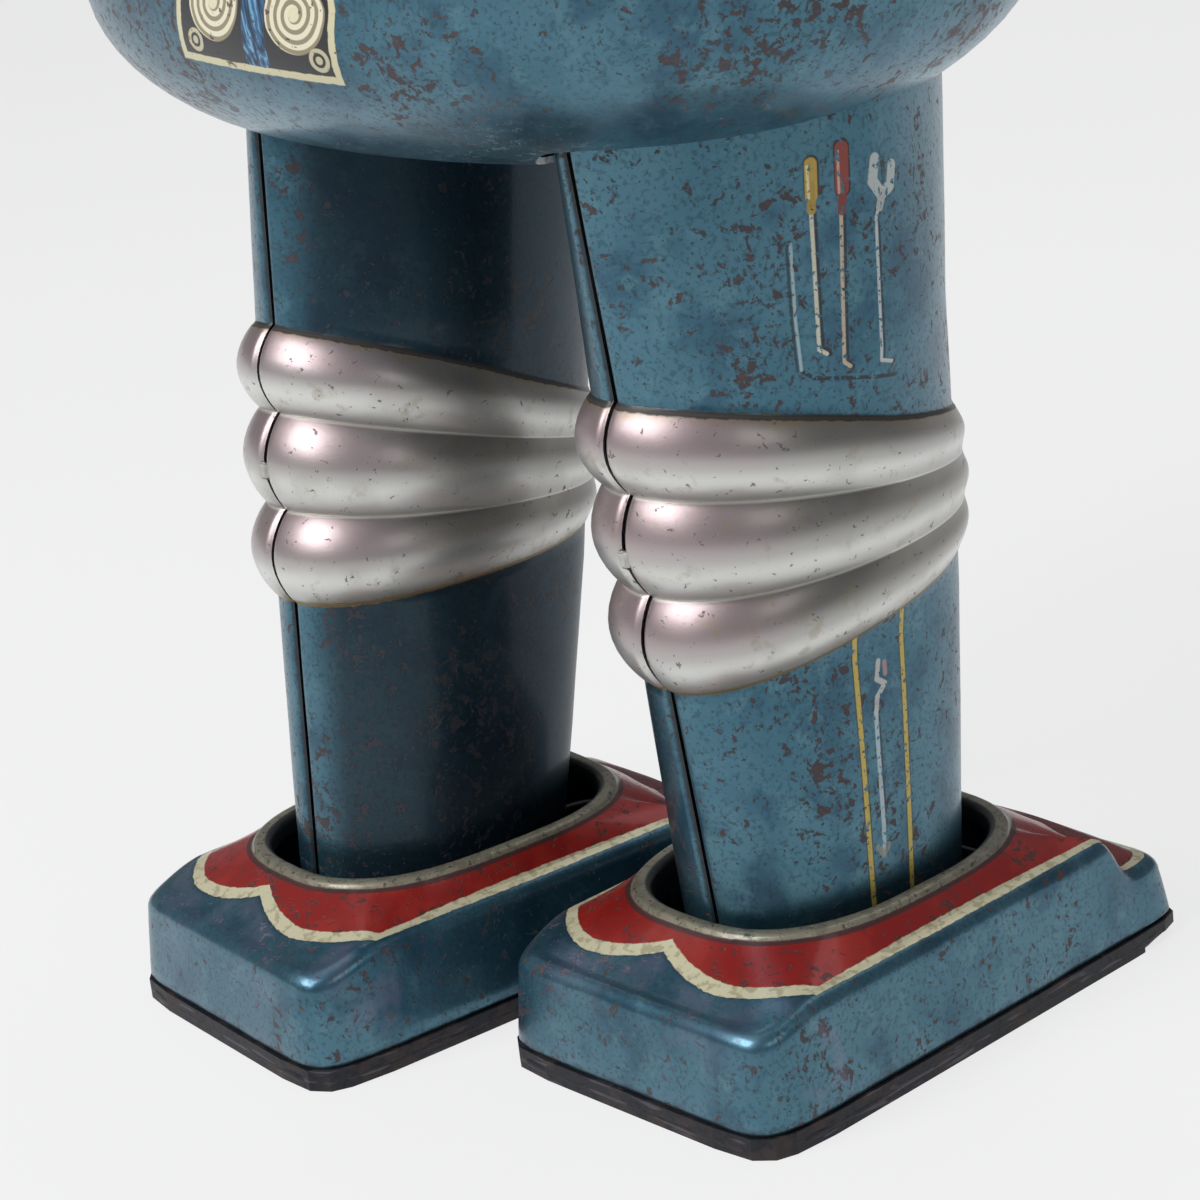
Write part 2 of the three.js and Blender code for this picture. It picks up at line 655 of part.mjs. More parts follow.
const collarRound = [...COLLAR_PROFILE, COLLAR_PROFILE[0]].map(([r, z]) => new THREE.Vector2(r, z));
const collar = outward(new THREE.LatheGeometry(collarRound, 20).rotateX(Math.PI / 2));
add(robot, 'neck_collar', collar, SILVER).position.z = BODY_TOP + 0.4;
const aerialTip = new THREE.SphereGeometry(2.6, 12, 8).translate(0, 0, 12);
const aerialStem = new THREE.CylinderGeometry(0.8, 0.8, 11, 10).rotateX(Math.PI / 2);
const aerial = join(aerialStem.translate(0, 0, 5.5), aerialTip);
add(robot, 'aerial', aerial, STEEL).position.z = HEAD.top + 1;

// ---- arms ---------------------------------------------------------------------------------
/** A solid swept tube along the bent arm: shoulder dome, elbow, open cuff. */
function armTube(radius, cuff) {
  const path = [];
  const turn = (angle, r, y, z) => path.push({ y, z, angle, r });
  for (const part of [0, 0.35, 0.7]) {
    const rise = radius * (1 - part);
    turn(0, Math.sqrt(radius ** 2 - rise ** 2) || 0.01, 0, rise);
  }
  turn(0, radius, 0, 0);
  turn(0, radius - 1.2, 0, -ELBOW_DROP + ELBOW_BEND);
  for (const part of [0.5, 1]) {
    const angle = part * Math.PI / 2;
    const y = -ELBOW_BEND * (1 - Math.cos(angle));
    turn(angle, radius - 1.4, y, -ELBOW_DROP + ELBOW_BEND - ELBOW_BEND * Math.sin(angle));
  }
  turn(Math.PI / 2, radius - 2.6, -ELBOW_BEND - (FOREARM - ELBOW_BEND) * cuff, -ELBOW_DROP);
  const columns = range(14).map((i) => 2 * Math.PI * i / 14);
  const grid = path.map(({ y, z, angle, r }) => columns.map((around) => {
    const out = r * Math.sin(around);
    return new THREE.Vector3(r * Math.cos(around), y + out * Math.cos(angle), z - out * Math.sin(angle));
  }));
  const flat = (row) => {
    const middle = row.reduce((sum, p) => sum.add(p), new THREE.Vector3()).divideScalar(row.length);
    return row.map(() => middle);
  };
  const capped = [flat(grid[0]), ...grid, flat(grid.at(-1))];
  const points = capped.flat();
  const faces = [];
  for (let r = 0; r < capped.length - 1; r++) {
    for (let c = 0; c < 14; c++) {
      const [a, b] = [r * 14 + c, r * 14 + (c + 1) % 14];
      faces.push([a, b, b + 14], [a, b + 14, a + 14]);
    }
  }
  return fromTriangles(points, faces);
}

const armShell = cut(armTube(ARM_RADIUS, 1), armTube(ARM_RADIUS - SHEET, 1.1));
const armHalf = (side) => common(armShell, box(40, 120, 120, side * (20 + SEAM / 2), 0, 0));
const pinBore = bar(2.2, -30, 0, 0, 0);
const armParts = { outer: armHalf(1), inner: cut(armHalf(-1), pinBore) };

/** Gripper: a wrist plug with a C-shaped claw. */
function hand() {
  const reach = HAND_REACH;
  const wrist = new THREE.CylinderGeometry(5.4, 5.4, 16, 14).translate(0, -FOREARM - 2, -ELBOW_DROP);
  const claw = new THREE.Shape();
  const outer = (reach - FOREARM - 5) / 2;
  const opening = 0.22 * Math.PI;
  claw.absarc(0, 0, outer, -opening, opening - Math.PI, false);
  claw.absarc(0, 0, outer - 3.2, opening - Math.PI, -opening, true);
  const jaw = new THREE.ExtrudeGeometry(claw, { depth: 7, bevelEnabled: false, curveSegments: 10 });
  jaw.translate(0, 0, -3.5);
  const turn = new THREE.Matrix4().makeBasis(
    new THREE.Vector3(0, 0, 1),
    new THREE.Vector3(0, 1, 0),
    new THREE.Vector3(-1, 0, 0),
  );
  jaw.applyMatrix4(turn).translate(0, -reach + outer * Math.sin(opening), -ELBOW_DROP);
  return join(wrist, jaw);
}

const pinX = BODY.width / 2 - 9 - ARM_X; // flange of the shoulder pin, inside the body
const pinProfile = [
  [0, pinX], [5, pinX], [5, pinX + 1.2], [2.6, pinX + 1.2], [2.6, -12.4],
  [1.8, -12.4], [1.8, -9.8], [3.4, -9.8], [3.4, -8.6], [0, -8.6],
];
const shoulderPin = turned(pinProfile, 0, 0, 12);
const handShape = hand();

for (const [name, side] of [['left', 1], ['right', -1]]) {
  const arm = new THREE.Group();
  arm.position.set(side * ARM_X, 0, SHOULDER_Z);
  robot.add(arm);
  const shape = (geometry) => (side > 0 ? geometry : mirrored(geometry));
  add(arm, `${name}_arm_outer_half`, shape(armParts.outer), TEAL);
  add(arm, `${name}_arm_inner_half`, shape(armParts.inner), TEAL);
  add(arm, `${name}_hand`, shape(handShape), RED);
  add(arm, `${name}_shoulder_pin`, shape(shoulderPin), STEEL);
}

// ---- movement -----------------------------------------------------------------------------
const PILLARS = [[-20, 138], [30, 138], [-20, 184], [30, 184]];
const INSIDE = PLATE_X - GAP;

function movementPlate(x) {
  const outline = new THREE.Shape();
  outline.moveTo(-24, 133);
  outline.lineTo(34, 133);
  outline.lineTo(36, 150);
  outline.lineTo(34, 188);
  outline.lineTo(-24, 188);
  circleHole(outline, 0, HIP_HEIGHT, 1.5 + GAP);
  circleHole(outline, CRANK.y, CRANK.z, 1.5 + GAP);
  circleHole(outline, ARBOR.y, ARBOR.z, 2 + GAP);
  circleHole(outline, GOVERNOR.y, GOVERNOR.z, 1 + GAP);
  circleHole(outline, STOP_ROD.y, STOP_ROD.z, 0.9 + GAP);
  return platework(outline, PLATE, x);
}

function mainspring() {
  const turnsHeld = 4;
  const steps = 48;
  const [first, last] = [3.2, 14.4];
  const strip = 0.45;
  const at = (i, extra) => {
    const angle = 2 * Math.PI * turnsHeld * i / steps;
    const radius = mix(first, last, i / steps) + extra;
    return new THREE.Vector2(radius * Math.cos(angle), radius * Math.sin(angle));
  };
  const outline = [
    ...range(steps + 1).map((i) => at(i, 0)),
    ...range(steps + 1).map((i) => at(steps - i, strip)),
  ];
  return platework(new THREE.Shape(outline), 5, -10.9).translate(0, ARBOR.y, ARBOR.z);
}

function ratchetWheel() {
  const teeth = 12;
  const outline = new THREE.Shape(range(teeth).flatMap((i) => {
    const angle = 2 * Math.PI * i / teeth;
    const next = angle + 0.85 * 2 * Math.PI / teeth;
    return [
      new THREE.Vector2(6.4 * Math.cos(angle), 6.4 * Math.sin(angle)),
      new THREE.Vector2(5 * Math.cos(next), 5 * Math.sin(next)),
    ];
  }));
  circleHole(outline, 0, 0, 2 + GAP);
  return platework(outline, 1.2, -2.4).translate(0, ARBOR.y, ARBOR.z);
}

function click() {
  const outline = new THREE.Shape();
  outline.moveTo(7, -1.2);
  outline.lineTo(8.6, -2.4);
  outline.absarc(10.6, 5, 2, -0.5 * Math.PI, Math.PI);
  outline.lineTo(8.2, 0.4);
  circleHole(outline, 10.6, 5, 0.7);
  return platework(outline, 1.2, -2.4).translate(0, ARBOR.y, ARBOR.z);
}

function crankDisc(direction) {
  const outline = new THREE.Shape();
  outline.absarc(0, 0, CRANK_THROW + 2, 0, 2 * Math.PI);
  circleHole(outline, 0, 0, 1.5 + GAP);
  const disc = platework(outline, 1.6, 13.8);
  return join(disc, bar(1, 14.6, 20.6, direction * CRANK_THROW, 0, 12)).translate(0, CRANK.y, CRANK.z);
}

function governorFly() {
  const blade = box(1, 15, 3.6, 8.5, 0, 0);
  return cut(blade, bar(1 + GAP, 0, 20, 0, 0, 12)).translate(0, GOVERNOR.y, GOVERNOR.z);
}

function windingKey() {
  const reach = BODY.width / 2;
  const shank = turned([
    [2 + GAP, -reach - 1.2], [3.6, -reach - 1.2], [3.6, -reach - 14],
    [0, -reach - 14], [0, -reach - 11], [2 + GAP, -reach - 11],
  ], 0, 0);
  const wing = (side) => {
    const lobe = (radius, thickness) => {
      const disc = new THREE.CylinderGeometry(radius, radius, thickness, 14);
      return disc.translate(-reach - 17.5, 0, side * 6.8);
    };
    return cut(lobe(6.2, 1.6), lobe(3.2, 5));
  };
  const web = box(7, 1.6, 6, -reach - 15.5, 0, 0);
  return join(shank, web, wing(1), wing(-1)).translate(0, ARBOR.y, ARBOR.z);
}

add(robot, 'left_movement_plate', movementPlate(PLATE_X), BRASS);
add(robot, 'right_movement_plate', movementPlate(-PLATE_X - PLATE), BRASS);
PILLARS.forEach(([y, z], i) => {
  add(robot, `movement_pillar_${i + 1}`, bar(2, -INSIDE, INSIDE, y, z, 12), STEEL);
});
const tabs = [-5, 11].flatMap((y) => [1, -1].map((side) => box(1, 8, 9, side * 10.4, y, 135.1)));
add(robot, 'movement_bracket', join(box(21.8, 24, 1, 0, 3, 131.1), ...tabs), STEEL);
add(robot, 'hip_axle', bar(1.5, -22, 22, 0, HIP_HEIGHT), STEEL);
add(robot, 'mainspring', mainspring(), STEEL);

const toCrank = Math.atan2(CRANK.z - ARBOR.z, CRANK.y - ARBOR.y);
const toGovernor = Math.atan2(GOVERNOR.z - CRANK.z, GOVERNOR.y - CRANK.y);
const facingGap = (wheel) => Math.PI + Math.PI / wheel.teeth;
add(robot, 'great_wheel', gear(GREAT, 2 + GAP, 1.4, -4.2, ARBOR.y, ARBOR.z, toCrank), BRASS);
add(robot, 'click', click(), STEEL);
add(robot, 'ratchet_wheel', ratchetWheel(), STEEL);
add(robot, 'winding_arbor', bar(2, -BODY.width / 2 - 10.4, 13.6, ARBOR.y, ARBOR.z), STEEL);
add(robot, 'winding_key', windingKey(), STEEL);

add(robot, 'crankshaft', bar(1.5, -16, 16, CRANK.y, CRANK.z), STEEL);
const pinionTurn = toCrank + facingGap(CRANK_PINION);
const pinion = gear(CRANK_PINION, 1.5 + GAP, 3.6, -5.4, CRANK.y, CRANK.z, pinionTurn);
add(robot, 'crank_pinion', pinion, STEEL);
add(robot, 'crank_wheel', gear(CRANK_WHEEL, 1.5 + GAP, 1.2, 4, CRANK.y, CRANK.z, toGovernor), BRASS);
add(robot, 'left_crank_disc', crankDisc(-1), STEEL);
add(robot, 'right_crank_disc', mirrored(crankDisc(1)), STEEL);

add(robot, 'governor_arbor', bar(1, -13.6, 13.6, GOVERNOR.y, GOVERNOR.z, 12), STEEL);
const smallTurn = toGovernor + facingGap(GOVERNOR_PINION);
const smallPinion = gear(GOVERNOR_PINION, 1 + GAP, 3.4, 3, GOVERNOR.y, GOVERNOR.z, smallTurn);
add(robot, 'governor_pinion', smallPinion, STEEL);
add(robot, 'governor_fly', governorFly(), STEEL);

const rodEnd = -BODY.width / 2 - 5;
const stopRod = join(
  bar(0.9, rodEnd, 6.8, STOP_ROD.y, STOP_ROD.z, 10),
  box(1.6, 1.5, 4.2, 6, STOP_ROD.y, STOP_ROD.z + 2),
  bar(2.6, rodEnd - 2, rodEnd + 1.5, STOP_ROD.y, STOP_ROD.z, 14),
);
add(robot, 'stop_rod', stopRod, STEEL);

export default robot;
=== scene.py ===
"""Looks of a tin wind-up walking robot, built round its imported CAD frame.

Lengths in the shape code are millimetres in each piece's own upright frame, turned into metres in the
shared frame when the mesh is made.  +Z is up, the robot looks along -Y and its own left is +X.
"""

import math

import bmesh
import bpy
import numpy as np
from mathutils import Matrix, Vector, noise


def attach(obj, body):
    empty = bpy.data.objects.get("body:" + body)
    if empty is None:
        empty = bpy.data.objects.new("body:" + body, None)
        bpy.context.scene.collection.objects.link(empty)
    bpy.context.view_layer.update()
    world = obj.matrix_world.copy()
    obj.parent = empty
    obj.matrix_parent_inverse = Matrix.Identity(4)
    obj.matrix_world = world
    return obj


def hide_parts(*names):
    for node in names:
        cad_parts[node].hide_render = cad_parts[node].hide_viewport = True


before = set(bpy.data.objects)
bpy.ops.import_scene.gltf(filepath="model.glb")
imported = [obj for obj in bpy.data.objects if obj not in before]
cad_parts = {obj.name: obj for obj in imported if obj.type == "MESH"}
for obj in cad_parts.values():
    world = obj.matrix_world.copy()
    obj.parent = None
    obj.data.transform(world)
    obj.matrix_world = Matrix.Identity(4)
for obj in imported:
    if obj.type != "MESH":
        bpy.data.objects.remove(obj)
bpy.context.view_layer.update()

MM = 0.001
TAU = 2 * math.pi

# ---- dimensions, as in the CAD ------------------------------------------------------------
SHEET = 0.9
HIP = 142.5
STANCE = 60.9
SWING = math.radians(5.07)
TOE_OUT = math.radians(2.97)
ANKLE = 6.2
STRIDE = (HIP - ANKLE) * math.tan(SWING)
LEG_OFFSET = 3.4
LEG_FOOT = 17
LEG_TOP = 138.5
SEAM = 0.7
LEG_Z = (33.5, 59.7, 101.7, 132)
LEG_FRONT = (24.9, 25.3, 25.7, 26.0)
LEG_REAR = (22.1, 26.8, 30.7, 38.0)
LEG_INNER = (17.2, 16.6, 20.4, 19.3)
LEG_OUTER = (14.0, 15.0, 21.7, 22.2)
LEG_FULL = (2.3, 2.2, 1.8, 1.6)
PLEATS = ((60.6, 5.6), (74.5, -2.2), (89.1, -10.9), (101.9, -17.6))
PLEAT_CREST = 3.1
PLEAT_SIDE = 0.7
PLEAT_LIFT = 1.0
PLEAT_STEP = 0.3
SHOE_HALF = (27.4, 45.0)
SHOE_Y = 1.0
TOE_FULL = 11
HEEL_FULL = 16
HEM = 3.2
RING_Y = -2.05
RING_HALF = (21.75, 28.65)
RING_FULL = 2.7
RING_Z = 24.2
RING_BAND = 3.0
BODY_HALF = (72.9, 56.7)
BODY_Y = 2.9
BODY_BOTTOM = 129.2
BODY_FULL = 2.25
BOWL_ACROSS = 42
BOWL_UP = 26.6
WAIST = 176
SHOULDER = 212
BODY_TOP = 226
NECK = 23
HEAD_HALF = (31, 27)
HEAD_Z = (231, 281)
HEAD_FULL = 3.4
EYE_X = 13
EYE_RISE = 33
EAR_RISE = 30
MOUTH_RISE = 15
KNEE_TAB_Z = 81.0
ARBOR = (18, 160)
STOP_ROD = (-12, 166.2)
ARM_X = 85
ARM_RADIUS = 12
ELBOW_DROP = 27
ELBOW_BEND = 13
FOREARM = 36
HAND_REACH = BODY_Y + BODY_HALF[1]
ROLLER_Y = (-26, 23)
ROLLER_Z = 5.2

SIDES = (("left", 1), ("right", -1))


# ---- small maths --------------------------------------------------------------------------
def mix(a, b, part):
    return a + (b - a) * part


def smooth(low, high, value):
    part = min(1.0, max(0.0, (value - low) / (high - low)))
    return part * part * (3 - 2 * part)


def power(value, exponent):
    return math.copysign(abs(value) ** exponent, value)


def along(heights, values, z):
    """Piecewise straight value over rising heights, carried on past both ends."""
    low = min(len(heights) - 2, max(0, sum(h <= z for h in heights) - 1))
    part = (z - heights[low]) / (heights[low + 1] - heights[low])
    return mix(values[low], values[low + 1], part)


def oval(angle, half, full, inset=0.0):
    """The point of a superellipse in a polar direction."""
    c, s = math.cos(angle), math.sin(angle)
    a, b = half[0] - inset, half[1] - inset
    r = ((abs(c) / a) ** full + (abs(s) / b) ** full) ** (-1 / full)
    return r * c, r * s


def spread(low, high, count):
    return [mix(low, high, i / (count - 1)) for i in range(count)]


# ---- meshes -------------------------------------------------------------------------------
def normals(grid, closed):
    """Unit normals of a grid of rows of points."""
    if closed:
        across = np.roll(grid, -1, 1) - np.roll(grid, 1, 1)
    else:
        across = np.gradient(grid, axis=1)
    up = np.gradient(grid, axis=0)
    n = np.cross(across, up)
    return n / np.maximum(np.linalg.norm(n, axis=2, keepdims=True), 1e-9)


def dented(grid, closed, depth, wave, seed):
    """The grid pushed inward by soft irregular dents."""
    n = normals(grid, closed)
    shift = np.zeros(grid.shape[:2])
    for r in range(grid.shape[0]):
        for c in range(grid.shape[1]):
            p = Vector(grid[r, c]) / wave + Vector((seed, seed * 0.7, -seed))
            shift[r, c] = 0.5 + 0.5 * noise.noise(p)
    centre = grid.reshape(-1, 3).mean(0)
    out = np.sign(((grid - centre) * n).sum())
    return grid - n * out * depth * shift[..., None]


def quads(rows, cols, closed, base, flip):
    wrap = cols if closed else cols - 1
    faces = []
    for r in range(rows - 1):
        for c in range(wrap):
            d = (c + 1) % cols
            a, b = base + r * cols + c, base + r * cols + d
            face = (a, b, b + cols, a + cols)
            faces.append(face[::-1] if flip else face)
    return faces


def sheet_mesh(grid, gauge, closed, extras):
    """A closed sheet-metal solid: the grid, a second skin a gauge inside it, and its rims."""
    rows, cols = grid.shape[:2]
    count = rows * cols
    n = normals(grid, closed)
    centre = grid.reshape(-1, 3).mean(0)
    out = np.sign(((grid - centre) * n).sum())
    inner = grid - n * out * gauge
    points = np.concatenate([grid.reshape(-1, 3), inner.reshape(-1, 3)])
    faces = quads(rows, cols, closed, 0, False) + quads(rows, cols, closed, count, True)
    wrap = cols if closed else cols - 1
    last = (rows - 1) * cols
    for c in range(wrap):
        d = (c + 1) % cols
        faces.append((c, c + count, d + count, d))
        faces.append((last + c, last + d, last + d + count, last + c + count))
    if not closed:
        for r in range(rows - 1):
            a, b = r * cols, (r + 1) * cols
            faces.append((a, b, b + count, a + count))
            a, b = a + cols - 1, b + cols - 1
            faces.append((a, a + count, b + count, b))
    values = {k: np.concatenate([v.reshape(-1)] * 2) for k, v in extras.items()}
    return points, faces, values


def grid_mesh(grid, closed=True, caps=True):
    """A closed solid from rows of rings, with fans over the first and last ring."""
    rows, cols = grid.shape[:2]
    points = list(map(tuple, grid.reshape(-1, 3)))
    faces = quads(rows, cols, closed, 0, False)
    if caps:
        for row, flip in ((0, True), (rows - 1, False)):
            ring = [row * cols + c for c in range(cols)]
            faces.append(tuple(ring[::-1] if flip else ring))
    return np.array(points, float), faces, {}


def merged(*meshes):
    points, faces, base = [], [], 0
    for p, f, _ in meshes:
        points.append(p)
        faces += [tuple(i + base for i in face) for face in f]
        base += len(p)
    return np.concatenate(points), faces, {}


def plain_object(name, mesh_parts):
    points, faces, _ = mesh_parts
    mesh = bpy.data.meshes.new(name)
    mesh.from_pydata([tuple(p) for p in points], [], faces)
    obj = bpy.data.objects.new(name, mesh)
    bpy.context.scene.collection.objects.link(obj)
    tidy_normals(mesh)
    return obj


def tidy_normals(mesh):
    bm = bmesh.new()
    bm.from_mesh(mesh)
    bmesh.ops.remove_doubles(bm, verts=bm.verts, dist=1e-4)
    bmesh.ops.dissolve_degenerate(bm, dist=1e-5, edges=bm.edges)
    bmesh.ops.recalc_face_normals(bm, faces=bm.faces)
    bm.to_mesh(mesh)
    bm.free()


def cut_away(obj, cutters):
    """Takes cutter meshes out of an object, for good."""
    for i, parts in enumerate(cutters):
        tool = plain_object(f"{obj.name}_cutter_{i}", parts)
        modifier = obj.modifiers.new("cut", "BOOLEAN")
        modifier.operation = "DIFFERENCE"
        modifier.solver = "EXACT"
        modifier.object = tool
        graph = bpy.context.evaluated_depsgraph_get()
        made = bpy.data.meshes.new_from_object(obj.evaluated_get(graph))
        obj.modifiers.clear()
        obj.data = made
        bpy.data.objects.remove(tool)


def piece(name, parts, material, body, stands_for=(), side=1, matrix=None, cutters=(),
          sharp=38, bevel=0.0):
    """One visible piece: mesh, place attribute, finish, and the body it rides on."""
    points, faces, values = parts
    mesh = bpy.data.meshes.new(name)
    mesh.from_pydata([tuple(p) for p in points], [], faces)
    obj = bpy.data.objects.new(name, mesh)
    bpy.context.scene.collection.objects.link(obj)
    for key, value in values.items():
        layer = mesh.attributes.new(key, "FLOAT", "POINT")
        layer.data.foreach_set("value", value.astype(np.float32))
    tidy_normals(mesh)
    cut_away(obj, cutters)
    mesh = obj.data
    mesh.name = name
    co = np.zeros(len(mesh.vertices) * 3, np.float32)
    mesh.vertices.foreach_get("co", co)
    place = mesh.attributes.new("place", "FLOAT_VECTOR", "POINT")
    place.data.foreach_set("vector", co)
    flip = Matrix.Diagonal((side, 1, 1, 1))
    mesh.transform(Matrix.Scale(MM, 4) @ (matrix or Matrix.Identity(4)) @ flip)
    if side < 0:
        mesh.flip_normals()
    mesh.shade_smooth()
    mesh.set_sharp_from_angle(angle=math.radians(sharp))
    mesh.materials.clear()
    mesh.materials.append(material)
    if bevel:
        modifier = obj.modifiers.new("edge", "BEVEL")
        modifier.width = bevel * MM
        modifier.segments = 2
        modifier.limit_method = "ANGLE"
        modifier.angle_limit = math.radians(40)
    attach(obj, body)
    if stands_for:
        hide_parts(*stands_for)
    return obj


def turned(profile, axis, centre, count=48):
    """A body of revolution: closed profile of (radius, reach) round a unit axis through a centre."""
    axis = Vector(axis)
    side = axis.orthogonal().normalized()
    other = axis.cross(side)
    rows = []
    for i in range(count):
        a = TAU * i / count
        out = side * math.cos(a) + other * math.sin(a)
        rows.append([tuple(Vector(centre) + out * r + axis * t) for r, t in profile])
    grid = np.array(rows + [rows[0]], float)
    faces = quads(grid.shape[0], grid.shape[1], True, 0, False)
    return grid.reshape(-1, 3), faces, {}


def rounded(profile, radius, steps=3):
    """A closed profile with its corners rounded."""
    result = []
    count = len(profile)
    for i, corner in enumerate(profile):
        before, after = Vector(profile[i - 1]), Vector(profile[(i + 1) % count])
        corner = Vector(corner)
        to_before, to_after = before - corner, after - corner
        reach = min(radius, to_before.length * 0.45, to_after.length * 0.45)
        if corner[0] < 1e-6 or reach < 1e-6:
            result.append(tuple(corner))
            continue
        start = corner + to_before.normalized() * reach
        end = corner + to_after.normalized() * reach
        for k in range(steps + 1):
            t = k / steps
            result.append(tuple(start * (1 - t) ** 2 + corner * 2 * t * (1 - t) + end * t * t))
    return result


def tube(path, radius, count=10, closed=False):
    """A round tube through points; radius may be a (wide, high) pair along (outward, up)."""
    points = np.array(path, float)
    if closed:
        tangent = np.roll(points, -1, 0) - np.roll(points, 1, 0)
    else:
        tangent = np.gradient(points, axis=0)
    tangent /= np.linalg.norm(tangent, axis=1, keepdims=True)
    wide, high = radius if isinstance(radius, tuple) else (radius, radius)
    rows = []
    for p, t in zip(points, tangent):
        guide = Vector((0, 0, 1)) if abs(t[2]) < 0.8 else Vector((1, 0, 0))
        t = Vector(t)
        out = t.cross(guide).normalized()
        up = out.cross(t)
        rows.append([tuple(Vector(p) + out * wide * math.cos(TAU * k / count) +
                           up * high * math.sin(TAU * k / count)) for k in range(count)])
    if closed:
        grid = np.array(rows + [rows[0]], float)
        return grid.reshape(-1, 3), quads(len(rows) + 1, count, True, 0, False), {}
    return grid_mesh(np.array(rows, float))


def prism(outline, z0, z1):
    """A slab between two heights from an outline in the XY plane."""
    return grid_mesh(np.array([[(x, y, z) for x, y in outline] for z in (z0, z1)], float))


def block(size, centre, soft=0.3):
    """A small block with softened upright and level edges."""
    w, d, h = (s / 2 for s in size)
    rows = []
    for inset, z in ((soft, -h), (0, soft - h), (0, h - soft), (soft, h)):
        ring = []
        for sx, sy in ((1, 1), (-1, 1), (-1, -1), (1, -1)):
            x, y = w - inset, d - inset
            pair = [(sx * x, sy * (y - soft)), (sx * (x - soft), sy * y)]
            ring += pair if sx * sy > 0 else pair[::-1]
        rows.append([(centre[0] + x, centre[1] + y, centre[2] + z) for x, y in ring])
    return grid_mesh(np.array(rows, float))


# ---- finishes -----------------------------------------------------------------------------
def colour(text):
    """A #rrggbb colour as linear RGBA."""
    parts = [int(text[i:i + 2], 16) / 255 for i in (1, 3, 5)]
    return [p / 12.92 if p <= 0.04045 else ((p + 0.055) / 1.055) ** 2.4 for p in parts] + [1]


class Field:
    """A number over the surface, with arithmetic made of math nodes."""

    def __init__(self, tree, socket):
        self.tree = tree
        self.socket = socket

    def op(self, kind, *others):
        node = self.tree.nodes.new("ShaderNodeMath")
        node.operation = kind
        for i, value in enumerate((self, *others)):
            if isinstance(value, Field):
                self.tree.links.new(value.socket, node.inputs[i])
            else:
                node.inputs[i].default_value = value
        return Field(self.tree, node.outputs[0])

    def __add__(self, other):
        return self.op("ADD", other)

    def __sub__(self, other):
        return self.op("SUBTRACT", other)

    def __mul__(self, other):
        return self.op("MULTIPLY", other)

    def __truediv__(self, other):
        return self.op("DIVIDE", other)

    def __neg__(self):
        return self * -1.0

    def __abs__(self):
        return self.op("ABSOLUTE")

    def least(self, other):
        return self.op("MINIMUM", other)

    def most(self, other):
        return self.op("MAXIMUM", other)

    def length(self, other):
        return (self * self + other * other).op("SQRT")

    def rise(self, low, high):
        """0 below low, 1 above high, smooth between."""
        node = self.tree.nodes.new("ShaderNodeMapRange")
        node.interpolation_type = "SMOOTHSTEP"
        self.tree.links.new(self.socket, node.inputs["Value"])
        node.inputs["From Min"].default_value = low
        node.inputs["From Max"].default_value = high
        return Field(self.tree, node.outputs["Result"])

    def fall(self, low, high):
        """1 below low, 0 above high."""
        return -self.rise(low, high) + 1.0


